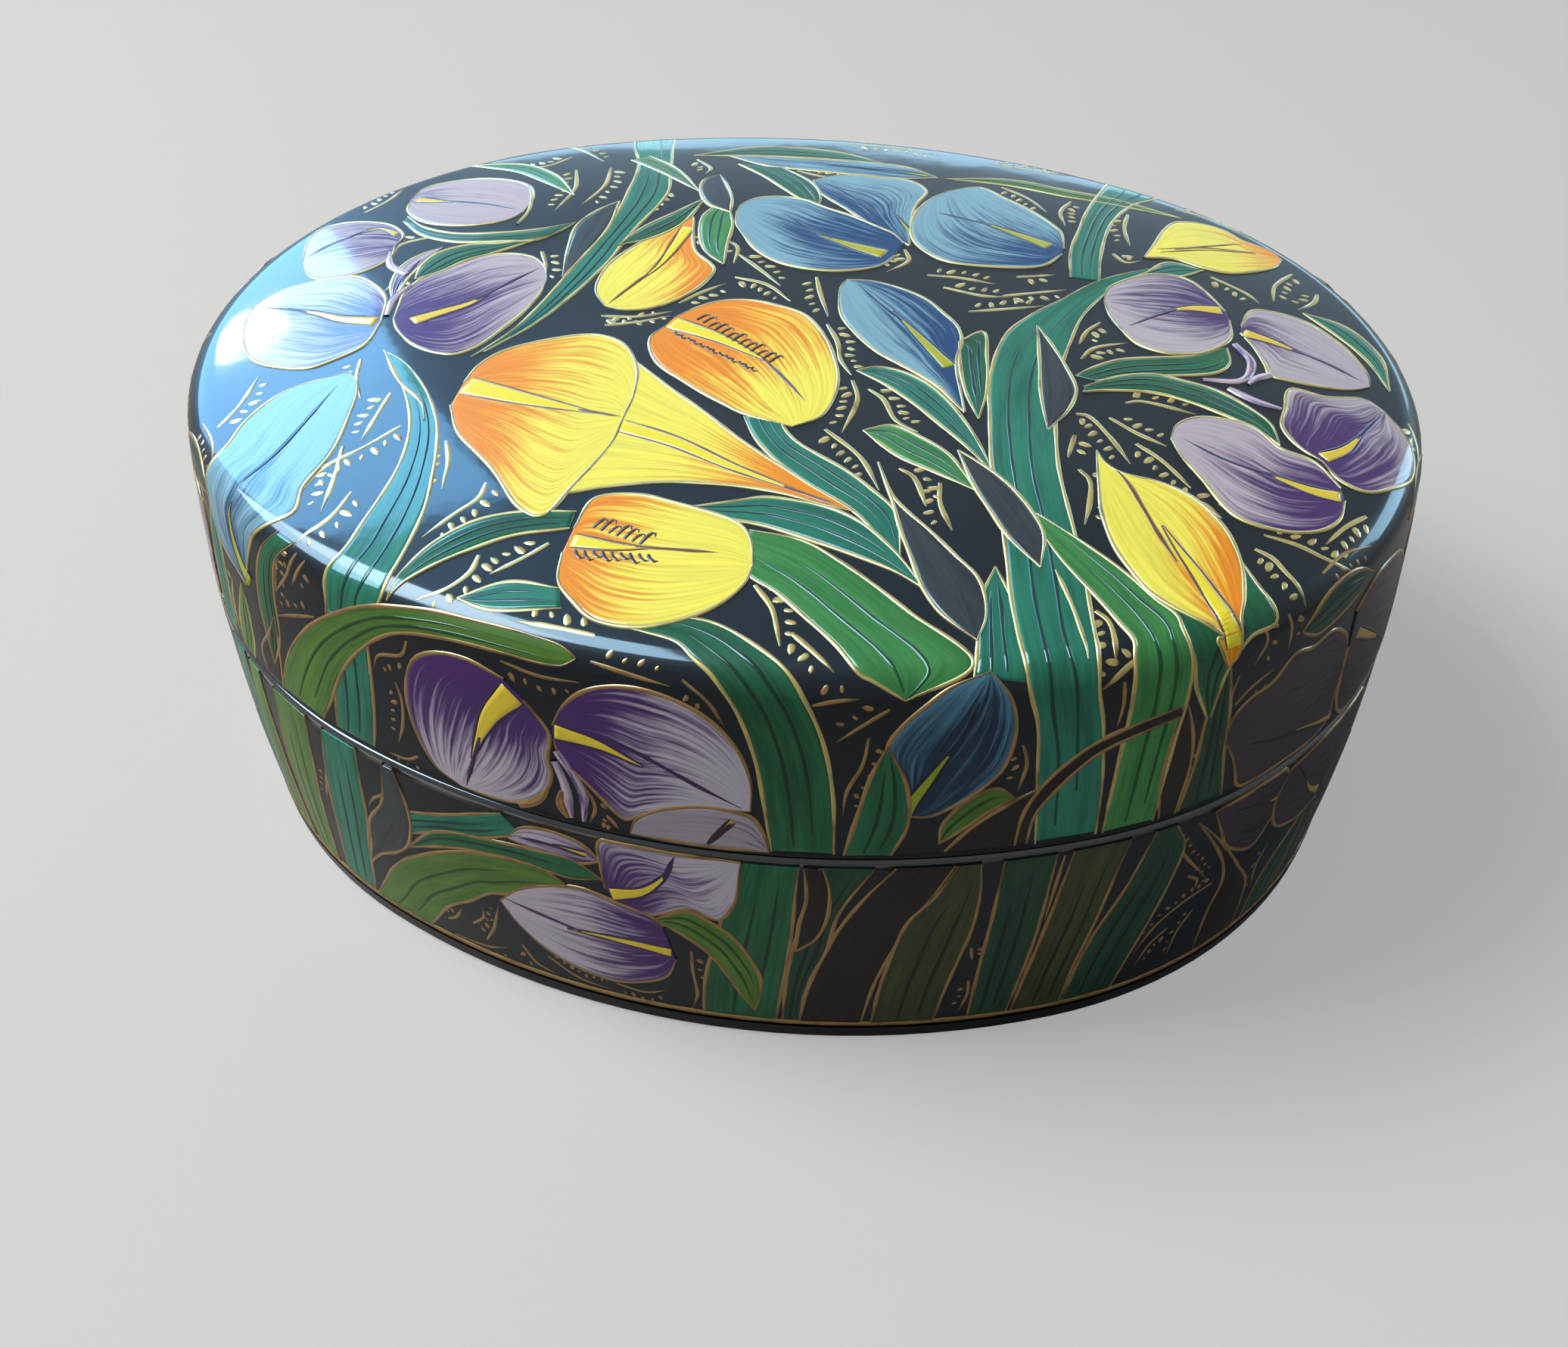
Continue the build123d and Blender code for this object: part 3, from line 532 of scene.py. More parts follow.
LID_WALL_LEAVES = (
    Leaf("olive", 2, [(-35.4, 0.7), (-33.7, 4.6), (-30.6, 8.9), (-27.4, 11.7), (-23.9, 13.9), (-19, 15.4),
        (-15.2, 15.8),
                      (-11.4, 15.9), (-8.4, 15.6), (-7.3, 15)],
         [(-30.3, 0.7), (-28.9, 3.2), (-27, 7), (-24.4, 10.3), (-21.5, 12.6), (-17.2, 13.8), (-13, 14.1),
         (-9.4, 14.1),
          (-8.2, 14.3), (-7.3, 15)]),
    Leaf("teal", 1, [(-28.8, 0.7), (-28.3, 4), (-28, 8), (-28, 12)],
        [(-25, 0.7), (-24.4, 4), (-24.1, 8), (-24, 12)]),
    Leaf("green", 1, [(-36, 2.6), (-36.6, 8.4), (-35.9, 12.1), (-33.6, 15.8)],
        [(-36, 2.6), (-34.3, 6), (-34.1, 9.7), (-33.6, 12.9),
                                                                          (-31.6, 15.8)]),
    Leaf("umber", 1, [(-37.6, 0.8), (-37.8, 3), (-36, 5.6), (-34.6, 8)],
        [(-35.4, 0.8), (-35, 3), (-34.7, 5.4), (-34.6, 8)]),
    Leaf("green", 5, [(11, 0.7), (11.8, 4.5), (12.6, 8), (13.6, 10.6)],
        [(14.2, 0.7), (15.2, 3.5), (15, 7), (13.6, 10.6)]),
    Leaf("olive", 2, [(17.5, 1.6), (17.6, 3.4), (19.5, 5.8), (21.2, 6.4), (22.4, 5.4)],
         [(17.5, 1.6), (19.4, 3.2), (20.5, 4.2), (22.4, 5.4)]),
    Leaf("umber", 2, [(17.9, 0.8), (19.6, 2.9), (22, 4.8), (24, 5.9)],
        [(22.8, 0.8), (23, 2.6), (23.5, 4), (24, 5.9)]),
    Leaf("umber", 4, [(22.8, 0.9), (23.2, 4), (24.6, 6.6), (27.4, 9.1), (30, 10.1), (34, 10.8)],
         [(23.6, 0.9), (24, 3.6), (25.4, 5.8), (27.8, 8.2), (30.2, 9.2), (34, 10)]),
    Leaf("umber", 3, [(33.6, 0.7), (33.2, 4), (33.5, 8), (34.3, 11.2)],
        [(34.9, 0.7), (35.4, 4.5), (35.3, 7.5), (34.3, 11.2)]),
    # Dark leaves at this end: partly their own deep green, partly painted shade
    Leaf("dark", 1, [(35.2, 0.7), (35.9, 5), (36.2, 9), (37.4, 14.2)],
        [(39, 0.7), (38.4, 5), (38.2, 9), (37.4, 14.2)]),
    Leaf("dark", 2, [(44.4, 12.8), (46.4, 14.4), (49, 15), (51.5, 14.6), (53.6, 13.2)],
         [(44.4, 12.8), (46.2, 11.8), (48.6, 12), (51, 12.5), (53.6, 13.2)]),
)
LID_WALL_SPRIGS = (
    [(-32.6, 15), (-33.4, 12.6), (-34, 9.9)], [(-31, 15.2), (-32, 13), (-33.8, 10.6)],
        [(-30, 15), (-30.7, 13.8), (-31.5, 12.3)],
    [(-29.3, 10.6), (-32.2, 9.3), (-34.6, 8)], [(-20.4, 12.4), (-21, 11), (-23.2, 10), (-23.8, 8.5)],
    [(-21.9, 8.3), (-21.5, 7), (-21.7, 4.5), (-22.4, 2.4)], [(-20.7, 1.9), (-21.8, 1.1), (-23.5, 0.9)],
    [(-12.8, 13.4), (-10, 13), (-7, 13.2)], [(-6.3, 15), (-3.5, 14.6), (-0.8, 14.2)],
        [(0, 14.8), (1.7, 13.4), (2.8, 11.6)],
    [(-7.2, 4.4), (-6.4, 2.5), (-6.9, 0.8)], [(-5.6, 1.9), (-5, 1.2), (-4.8, 0.8)],
        [(8.6, 13.7), (10, 14.1), (11.6, 14.3)],
    [(13.6, 13.5), (12, 12.3), (10.2, 10.8)], [(12.3, 11.2), (12, 9), (11, 6.5), (10.8, 4.4)],
        [(22.6, 10), (23, 8.4), (22.6, 6)],
    [(29.3, 14), (29.4, 12), (29.1, 10.2)], [(38.6, 11.7), (37.8, 9), (36.8, 6.5), (36.1, 3.4)],
        [(42.9, 15), (43.2, 13.5), (43.1, 11.9)],
    [(38.6, 9.2), (40, 10.2), (42, 10.9)], [(40.4, 15.2), (40.8, 13.6), (39.8, 12)],
        [(47.5, 16.2), (50.5, 16.4), (53.6, 15.4)],
)
BASE_WALL_PETALS = (
    Petal("lilac", 2, [(-6.2, -5.8), (-6.4, -3.5), (-6.2, -0.7), (-1, -0.7), (3.9, -0.7)],
          [(-5.4, -7.4), (-2.8, -7.8), (0, -6.4), (2.2, -7.1), (3.4, -5), (3.7, -2.5), (3.9, -0.7)],
          (0.95, -0.95, 0, -0.1), [(-5.8, -6.3), (-3.5, -5.4), (-1.8, -3.5), (-1, -1.9)],
          1.2, [(-1.7, -3.5), (-0.8, -0.9)]),
    Petal("lilac", 4, [(-2, -8.9), (-2.8, -8), (-5.3, -7.2), (-8, -6.5), (-11, -7.3), (-13.5, -8.8),
        (-15.4, -11)],
          [(-1.2, -12.6), (-2, -15), (-4, -16.5), (-6.5, -17.3), (-9, -17), (-12, -15.5), (-14.2, -13.2),
          (-15.4, -11)],
          (1.05, -1.2, 0, -0.15), [(-1.5, -11.9), (-6, -11.6), (-9.8, -11.8)],
          0.9, [(-8.6, -11.7), (-12, -11), (-15, -10.5)]),
    Petal("lilac", 1, [(-6.4, -3), (-7.6, -1.7), (-10, -1.1), (-12.5, -1.7), (-13.8, -3.2)],
          [(-6.4, -3), (-8, -3.7), (-11, -3.6), (-13.8, -3.2)],
          (0.7, -0.5, 0, 0), [(-7.4, -2.6), (-10, -2.4)], 0.4, [(-9.4, -2.5), (-12.8, -2.7)]),
    # Painted darker as painted shade, at the shaded right end of the wall
    Petal("dusk", 2, [(46.9, -3), (46.4, -0.9), (42, -0.8), (38.9, -1)],
        [(46.4, -5), (44.5, -7.8), (42.5, -7), (41, -5.6),
                                                                       (39.8, -3), (38.9, -1)],
          (0.6, -0.8, 0, 0), [(46.4, -3.6), (44.4, -3.2)], 0.5, [(45, -3.3), (41, -2)]),
)
MEETING_BASE_PETALS = (
    # Painted darker as painted shade, at the shaded right end of the wall
    Petal("dusk", 3, [(54.6, -8.2), (57.6, -5.4), (59, -2.6), (58.4, -0.8), (50, -0.8), (46.8, -1.2)],
          [(54, -9), (50, -8.8), (46.8, -7), (45.9, -4), (46.8, -1.2)],
          (1.05, -1.15, 0, -0.2), [(53.6, -8), (51.4, -6.2), (49.6, -3.6)],
          0.9, [(50.2, -4.6), (48.6, -2.2), (47.8, -1.2)]),
)
# Towards the right of the base's wall the leaves are painted dark and shaded olive, partly as painted shade
BASE_WALL_LEAVES = (
    Leaf("olive", 1, [(-38.6, -19.4), (-38.5, -14), (-38.4, -8), (-37.6, -0.7)],
        [(-35.3, -19.4), (-34.6, -13), (-33.6, -6),
                                                                              (-33, -0.7)]),
    Leaf("teal", 1, [(-34, -19.4), (-32.8, -13), (-32.2, -8), (-31, -0.7)],
         [(-30.4, -19.4), (-29.7, -17), (-28.9, -13), (-28, -9), (-27.3, -0.7)]),
    Leaf("bud", 3, [(-29.2, -14.8), (-28.2, -11.6), (-27.6, -8.6), (-25.4, -5), (-24.6, -0.8)],
         [(-29.2, -14.8), (-27.3, -12.4), (-25.3, -10.9), (-23.8, -9.2), (-22.9, -6.5), (-22.9, -3.8),
         (-23.6, -0.8)]),
    Leaf("teal", 1, [(-23.2, -5), (-20.5, -3.9), (-18, -2.7), (-14, -0.8)],
        [(-23.4, -7.6), (-20, -5.6), (-16.4, -4.4), (-12.4, -2.4)]),
    Leaf("green", 2, [(-23.8, -9.4), (-20.5, -5.8), (-16, -4.3), (-12, -3.7), (-8.5, -3.6), (-6.4, -4.9)],
         [(-23.8, -9.4), (-20, -7.2), (-17, -6.1), (-13, -5.4), (-9, -5.6), (-6.4, -4.9)]),
    Leaf("olive", 3, [(-30, -19.4), (-28.5, -17), (-26.7, -14), (-24.5, -11.3), (-21.5, -8.8), (-18, -6.7),
        (-14.5, -5.7),
                      (-11.5, -5.5), (-9.4, -6.4)],
         [(-24, -19.4), (-23, -18), (-21, -15), (-18.5, -12.8), (-16.2, -10.6), (-14.6, -9.9), (-12.5, -8.4),
          (-10.7, -7.6), (-9.4, -6.4)]),
    Leaf("olive", 3, [(-2.6, -8.2), (0, -6.7), (1.5, -7.5), (3.2, -9), (4.5, -11.5), (5.2, -14),
        (4.8, -18.4)],
         [(-2.6, -8.2), (-0.5, -9.5), (1.5, -11.5), (2.8, -14), (3.6, -16), (4.8, -18.4)]),
    Leaf("green", 1, [(0.6, -19.4), (0.9, -15), (1.8, -10), (3.9, -0.7)],
        [(6.3, -19.4), (7, -13), (7.4, -9), (7.9, -0.7)]),
    Leaf("umber", 2, [(7.8, -10), (8, -7), (8.5, -4), (8.3, -0.8)],
        [(7.8, -10), (9.2, -8.5), (10, -6), (10.1, -3), (9.6, -0.8)]),
    Leaf("dark", 1, [(6.8, -19.4), (7.2, -13), (7.9, -8), (9.4, -0.7)],
        [(8.1, -19.4), (8.8, -14), (10, -10), (10.8, -5.6),
                                                                     (13.2, -0.7)]),
    Leaf("umber", 2, [(8.1, -19.4), (8.9, -14), (10, -10), (10.8, -7.5), (12.5, -4), (14.7, -0.7)],
         [(12.9, -19.4), (13.7, -14), (14.8, -10), (15.8, -7), (17.5, -3.5), (18.8, -0.7)]),
    Leaf("moss", 3, [(13.7, -19.4), (14.1, -15), (14.8, -10.5), (15.8, -6.5), (17.5, -4), (19, -0.7)],
         [(18.6, -19.4), (19, -16), (19.9, -11), (20.5, -8), (20.8, -4), (20.6, -0.7)]),
    Leaf("dark", 1, [(21.3, -19.4), (21.6, -12), (22, -6), (22.3, -0.7)],
        [(24.4, -19.4), (24.8, -16), (25.5, -10), (26.1, -0.7)]),
    Leaf("moss", 2, [(24.8, -19.4), (25.3, -15), (26, -10), (26.6, -6), (27.4, -0.7)],
         [(28.8, -19.4), (29.3, -14), (30.2, -9), (31, -4), (31.7, -0.7)]),
    Leaf("dark", 1, [(29.1, -19.4), (29.5, -15), (30.3, -11), (32, -6.5), (33.8, -0.7)],
         [(33.3, -19.4), (34.1, -15.5), (35.2, -11), (36, -7.5), (36.6, -3.4), (35.4, -0.7)]),
    Leaf("umber", 1, [(41.6, -19.4), (41.5, -14), (42, -10), (37.4, -1.4)],
        [(46.4, -19.4), (45.6, -13), (43.4, -9.4), (37.4, -1.4)]),
    Leaf("dark", 1, [(47.4, -19.4), (48, -14), (52.6, -8.6)], [(51.6, -19.4), (52.4, -14), (52.6, -8.6)]),
)
BASE_END_LEAVES = (
    Leaf("teal", 1, [W(-46.6, -19.4), W(-46, -13), W(-45.6, -7), W(-45.8, -0.7)],
        [W(-43.2, -19.4), W(-42.8, -13), W(-42.6, -7),
                                                                                W(-42.9, -0.7)]),
    Leaf("olive", 2, [W(-41.9, -19.4), W(-42.3, -12), W(-42.5, -6), W(-42, -0.7)],
        [W(-39.4, -19.4), W(-39.5, -12), W(-39.8, -6),
                                                                                  W(-39.9, -0.7)]),
)
BASE_WALL_SPRIGS = (
    [(-32, -6), (-32.6, -8), (-33.2, -10.2)], [(-24.8, -2.5), (-25.2, -4.2), (-26.5, -5.5), (-27.3, -6.8)],
    [(-18.9, -16), (-17.6, -14.4), (-17.4, -13)], [(-17.9, -17.6), (-16.8, -15.4), (-15.8, -12)],
        [(-14.4, -16.2), (-13.4, -18.2), (-11.6, -19)],
    [(-12.2, -16.6), (-9.8, -18.4), (-7, -18.9)], [(-6.4, -17.8), (-4, -18.1), (-2.4, -17.3)],
        [(-21.6, -17), (-20.6, -16.2), (-19.6, -14.4)],
    [(-21.4, -19), (-18, -18.6), (-16, -17.6)], [(0, -11.4), (0, -14), (0.2, -17), (-0.3, -19.2)],
        [(20.9, -14.2), (21, -16), (20.5, -18.6)],
    [(20.7, -10), (20.9, -11.6)], [(26.7, -1), (26.4, -3.6), (26, -8)],
        [(37.8, -7.4), (39, -8.6), (38.8, -9.8)], [(40.8, -9.9), (38, -10.8), (36, -12.4), (34.3, -16)],
    [(37.4, -13.4), (36, -14.8), (35.2, -17.2)], [(39.6, -12.4), (38.6, -14.6), (38.4, -17.6)],
        [(34.6, -1), (37, -4.8), (40, -9)],
    [(47, -9.4), (46.4, -11.6), (46.8, -14.6)], [(55.6, -10), (54.4, -13), (54, -17.6)],
)

# The same painting goes round the wall three times: as on the front, mirrored, and moved on, and
# each flower takes another colour there
MEETING_LINE = 57.5
MOVED_ON = 193.5
STRAPS_ELSEWHERE = (
    Leaf("green", 1, [(6, 0.7), (5.5, 5), (4.9, 8.9), (3.6, 12.9), (2.2, 16.2)],
        [(10.3, 0.7), (10.1, 6.2), (8.9, 10.5), (6, 14.2), (2.2, 16.2)]),
    Leaf("green", 1, [(24.2, 0.7), (23.9, 6.2), (23.2, 11.5), (23.4, 16.2)],
        [(28.7, 0.7), (28.6, 5.3), (27.2, 10.7), (23.4, 16.2)]),
    Leaf("olive", 1, [(29.2, 0.7), (29.6, 7.1), (30.4, 11.8), (32.8, 16.2)],
        [(33.1, 0.7), (33.9, 6.3), (34.1, 11.5), (32.8, 16.2)]),
)
# On the other turns the petals that are darkened here as painted shade take plain paints
TURNS = (
    (0.0, 1, {}),
    (2 * MEETING_LINE, -1, {"lilac": "yellow", "blue": "lilac", "mauve": "yellow", "dusk": "blue",
        "slate": "lilac"}),
    (MOVED_ON, 1, {"lilac": "blue", "blue": "yellow", "mauve": "blue", "dusk": "lilac", "slate": "yellow"}),
)


# ---------------------------------------------------------------- sizes and colours for a user

class BoxSizes(bpy.types.PropertyGroup):
    """Sizes of the box's curves and of the painting on them."""
    flank_radius: FloatProperty(
        name="Flank radius", description="Plan curve of the two long sides", default=64 * MM, unit="LENGTH")
    barrel_radius: FloatProperty(
        name="Barrel radius", description="Upright curve of the wall", default=144 * MM, unit="LENGTH")
    crown_radius: FloatProperty(
        name="Crown radius", description="Upright curve of the lid's top", default=144 * MM, unit="LENGTH")
    crown_reach: FloatProperty(
        name="Crown reach", description="From the seam in to the flat middle", default=22.5 * MM,
            unit="LENGTH")
    shoulder_radius: FloatProperty(
        name="Shoulder radius", description="Rounding between wall and top", default=2.6 * MM, unit="LENGTH")
    lip_radius: FloatProperty(
        name="Lip radius", description="Rounding of both edges at the seam", default=0.6 * MM, unit="LENGTH")
    relief: FloatProperty(
        name="Relief", description="Room for the paint over the ground coat", default=0.15 * MM,
            unit="LENGTH")
    line_width: FloatProperty(
        name="Line width", description="Width of a gold outline", default=0.34 * MM, unit="LENGTH")
    grid_step: FloatProperty(
        name="Grid step", description="Side of a face of the painted patches", default=0.36 * MM,
            unit="LENGTH")


class BoxColours(bpy.types.PropertyGroup):
    """Colours of the ground, the gold and the inside."""
    # The ground's blue tint is partly a painted reflection of a blue sky
    ground: FloatVectorProperty(
        name="Ground", description="Black lacquer under the painting", subtype="COLOR",
            default=linear("#08131B"))
    gold: FloatVectorProperty(
        name="Gold", description="Thick gold line on the top", subtype="COLOR", default=linear("#AE9D60"))
    gold_thin: FloatVectorProperty(
        name="Thin gold", description="The same where the brush ran dry", subtype="COLOR",
            default=linear("#6C552B"))
    # The walls' gold is the top's gold painted darker, as painted shade
    shaded_wall_gold: FloatVectorProperty(
        name="Wall gold", description="Gold line round the walls", subtype="COLOR", default=linear("#8F7144"))
    shaded_wall_gold_thin: FloatVectorProperty(
        name="Thin wall gold", description="The same where the brush ran dry", subtype="COLOR",
            default=linear("#5C4325"))
    inside: FloatVectorProperty(
        name="Inside", description="Matt black paper of the lining", subtype="COLOR",
            default=linear("#14120F"))


# ---------------------------------------------------------------- the surface of the box

def smooth(points, count):
    """Points at even steps along a curve through the given ones.

    Each stretch is a cubic whose ends have the slopes that its neighbours give, with the square
    root of the chord as parameter, so that close points don't make it overshoot.
    """
    given = np.asarray(points, float)
    knots = np.concatenate([[0], np.cumsum(np.sqrt(np.linalg.norm(np.diff(given, axis=0), axis=1)))])
    slopes = np.gradient(given, knots, axis=0)
    fine = np.linspace(0, knots[-1], 12 * len(given))
    k = np.clip(np.searchsorted(knots, fine) - 1, 0, len(knots) - 2)
    step = knots[k + 1] - knots[k]
    t = ((fine - knots[k]) / step)[:, None]
    step = step[:, None]
    curve = (given[k] * (1 + 2 * t) * (1 - t) ** 2 + slopes[k] * step * t * (1 - t) ** 2
             + given[k + 1] * t * t * (3 - 2 * t) - slopes[k + 1] * step * t * t * (1 - t))
    way = np.concatenate([[0], np.cumsum(np.linalg.norm(np.diff(curve, axis=0), axis=1))])
    even = np.linspace(0, way[-1], count)
    return np.stack([np.interp(even, way, curve[:, i]) for i in (0, 1)], -1)


def length_of(points):
    return np.linalg.norm(np.diff(np.asarray(points, float), axis=0), axis=1).sum()


class Skin:
    """The outer surface of the box, and the chart that its painting is laid out on.

    The plan is an oval of four arcs. The upright curve is a wall arc, a shoulder arc and a crown
    arc, and v is the length along it, from the seam. The chart is the surface laid flat like a
    peeled skin: in the flat middle of the lid it is the plan itself, and outside that a point
    lies as far beyond the middle's oval as its length v is short of it.
    """

    def __init__(self, sizes):
        self.half_length = CAD_BOX[1].x / MM
        self.half_width = CAD_BOX[1].y / MM
        self.top = CAD_BOX[1].z / MM
        self.flank = sizes.flank_radius / MM
        self.barrel = sizes.barrel_radius / MM
        self.crown = sizes.crown_radius / MM
        self.reach = sizes.crown_reach / MM
        self.shoulder = sizes.shoulder_radius / MM
        self.lip = sizes.lip_radius / MM
        self.relief = sizes.relief / MM
        self.line = sizes.line_width / MM
        self.step = sizes.grid_step / MM
        self.flank_centre = self.flank - self.half_width
        self.end = (self.half_width ** 2 + 2 * self.flank_centre * self.half_width - self.half_length ** 2) \
            / (2 * (self.flank - self.half_length))
        self.end_centre = self.half_length - self.end
        self.junction = atan2(self.flank_centre, self.end_centre)
        self.place_shoulder()
        quarter = self.flank * (pi / 2 - self.junction)
        half = 2 * self.end * self.junction
        self.turn_angles = np.cumsum([-pi / 2, pi / 2 - self.junction, 2 * self.junction,
            pi - 2 * self.junction,
                                      2 * self.junction, pi / 2 - self.junction])
        self.turn_lengths = np.cumsum([0, quarter, half, 2 * quarter, half, quarter])

    def place_shoulder(self):
        """The shoulder's centre is a shoulder radius inside both the wall's arc and the crown's."""
        from_wall = self.barrel - self.shoulder
        from_crown = self.crown - self.shoulder
        across = self.barrel - self.reach
        rise = self.top - self.crown - SEAM
        apart = hypot(across, rise)
        along = (from_wall ** 2 - from_crown ** 2 + apart ** 2) / (2 * apart)
        aside = sqrt(from_wall ** 2 - along ** 2)
        self.shoulder_out = (along * across - aside * rise) / apart - self.barrel
        self.shoulder_up = (along * rise + aside * across) / apart + SEAM
        self.wall_angle = atan2(self.shoulder_up - SEAM, self.shoulder_out + self.barrel)
        self.crown_angle = atan2(self.shoulder_up + self.crown - self.top, self.shoulder_out + self.reach)
        self.wall_end = self.barrel * self.wall_angle
        self.shoulder_end = self.wall_end + self.shoulder * (self.crown_angle - self.wall_angle)
        self.crown_end = self.shoulder_end + self.crown * (pi / 2 - self.crown_angle)

    def angle(self, s):
        """Direction of the oval's normal at a length s round the seam, from the front's middle."""
        return np.interp(np.mod(s, self.turn_lengths[-1]), self.turn_lengths, self.turn_angles)

    def plan(self, angle, out):
        """Plan of the point a distance out from the seam's oval: an arc's centre plus its radius."""
        c, s = np.cos(angle), np.sin(angle)
        at_end = np.arctan2(np.abs(s), np.abs(c)) < self.junction
        x = np.where(at_end, self.end_centre * np.sign(c), 0)
        y = np.where(at_end, 0, -self.flank_centre * np.sign(s))
        radius = np.where(at_end, self.end, self.flank) + out
        return np.stack([x + radius * c, y + radius * s], -1)

    def nearest(self, plan):
        """Distance out from the seam's oval and direction of its normal, for points of a plan."""
        x, y = plan[..., 0], plan[..., 1]
        dx = np.abs(x) - self.end_centre
        at_end = (np.arctan2(np.abs(y), dx) < self.junction) & (dx > 0)
        from_end = np.hypot(dx, y) - self.end
        from_flank = np.hypot(x, np.abs(y) + self.flank_centre) - self.flank
        side_x = np.where(x >= 0, 1, -1)
        side_y = np.where(y >= 0, 1, -1)
        angle = np.where(at_end, np.arctan2(y, x - side_x * self.end_centre),
                         np.arctan2(y + side_y * self.flank_centre, x))
        return np.where(at_end, from_end, from_flank), angle

    def profile(self, v, depth=0.0):
        """Distance out, height and normal at a length v up the curve, at a depth below it."""
        a = v / self.barrel
        b = self.wall_angle + (v - self.wall_end) / self.shoulder
        c = self.crown_angle + (v - self.shoulder_end) / self.crown
        pieces = [v < self.wall_end, v < self.shoulder_end, v < self.crown_end]
        beyond = -self.reach - (v - self.crown_end)
        out = np.select(pieces, [
            (self.barrel - depth) * np.cos(a) - self.barrel,
            self.shoulder_out + (self.shoulder - depth) * np.cos(b),
            -self.reach + (self.crown - depth) * np.cos(c)], beyond)
        up = np.select(pieces, [
            SEAM + (self.barrel - depth) * np.sin(a),
            self.shoulder_up + (self.shoulder - depth) * np.sin(b),
            self.top - self.crown + (self.crown - depth) * np.sin(c)], self.top - depth)
        level = np.select(pieces, [np.cos(a), np.cos(b), np.cos(c)], 0.0)
        upright = np.select(pieces, [np.sin(a), np.sin(b), np.sin(c)], 1.0)
        return out, up, level, upright

    def chart(self, points, offset=0.0, sign=1, walls=False):
        """Chart points for plan points of the lid's top (x, y) and for wall points (s, v)."""
        on_wall = np.array([walls or isinstance(p, Wall) for p in points])
        given = np.array([tuple(p) for p in points], float)
        out, top_angle = self.nearest(given)
        on_crown = self.shoulder_end + self.crown * (
            np.arccos(np.clip((out + self.reach) / self.crown, 0, 1)) - self.crown_angle)
        on_shoulder = self.wall_end + self.shoulder * (
            np.arccos(np.clip((out - self.shoulder_out) / self.shoulder, 0, 1)) - self.wall_angle)
        edge = self.shoulder_out + self.shoulder * cos(self.crown_angle)
        v = np.where(out > edge, on_shoulder, np.where(out > -self.reach, on_crown,
            self.crown_end - self.reach - out))
        v = np.where(on_wall, given[:, 1], v)
        angle = np.where(on_wall, self.angle(offset + sign * given[:, 0]), top_angle)
        return self.plan(angle, self.crown_end - self.reach - v)

    def at(self, chart, lift, low, high):
        """Points in space, and normals, of chart points raised by lift over the ground coat.

        v stays between low and high, so a stroke ends at the lip or the foot of its own part.
        """
        out, angle = self.nearest(chart)
        flat = out < -self.reach
        v = np.clip(self.crown_end - self.reach - out, low, high)
        v = np.where(flat, self.crown_end, v)
        depth = self.relief - lift
        reach, up, level, upright = self.profile(v, depth)
        around = np.stack([np.cos(angle), np.sin(angle)], -1)
        plan = np.where(flat[..., None], chart, self.plan(angle, reach))
        point = np.concatenate([plan, np.where(flat, self.top - depth, up)[..., None]], -1)
        level = np.where(flat, 0, level)
        upright = np.where(flat, 1, upright)
        normal = np.concatenate([around * level[..., None], upright[..., None]], -1)
        return point, normal


# ---------------------------------------------------------------- meshes

def make_object(name, points, faces, material, body, attributes=None):
    """One mesh in metres from points in millimetres, smooth, riding on a body."""
    mesh = bpy.data.meshes.new(name)
    mesh.from_pydata((np.asarray(points) * MM).tolist(), [], faces)
    for key, (kind, values) in (attributes or {}).items():
        field = {"FLOAT": "value", "FLOAT_VECTOR": "vector", "FLOAT_COLOR": "color"}[kind]
        data = mesh.attributes.new(key, kind, "POINT").data
        data.foreach_set(field, np.asarray(values, np.float32).ravel())
    mesh.validate()
    mesh.shade_smooth()
    mesh.materials.append(material)
    obj = bpy.data.objects.new(name, mesh)
    bpy.context.scene.collection.objects.link(obj)
    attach(obj, body)
    return obj


def grid_faces(rows, columns, start=0, close_rows=False, close_columns=False):
    """Corners of the faces of a grid of points, row by row."""
    r = np.arange(rows if close_rows else rows - 1)
    c = np.arange(columns if close_columns else columns - 1)
    r, c = (a.ravel() for a in np.meshgrid(r, c, indexing="ij"))
    r_next, c_next = (r + 1) % rows, (c + 1) % columns
    return start + np.stack([r * columns + c, r * columns + c_next, r_next * columns + c_next,
        r_next * columns + c], -1)


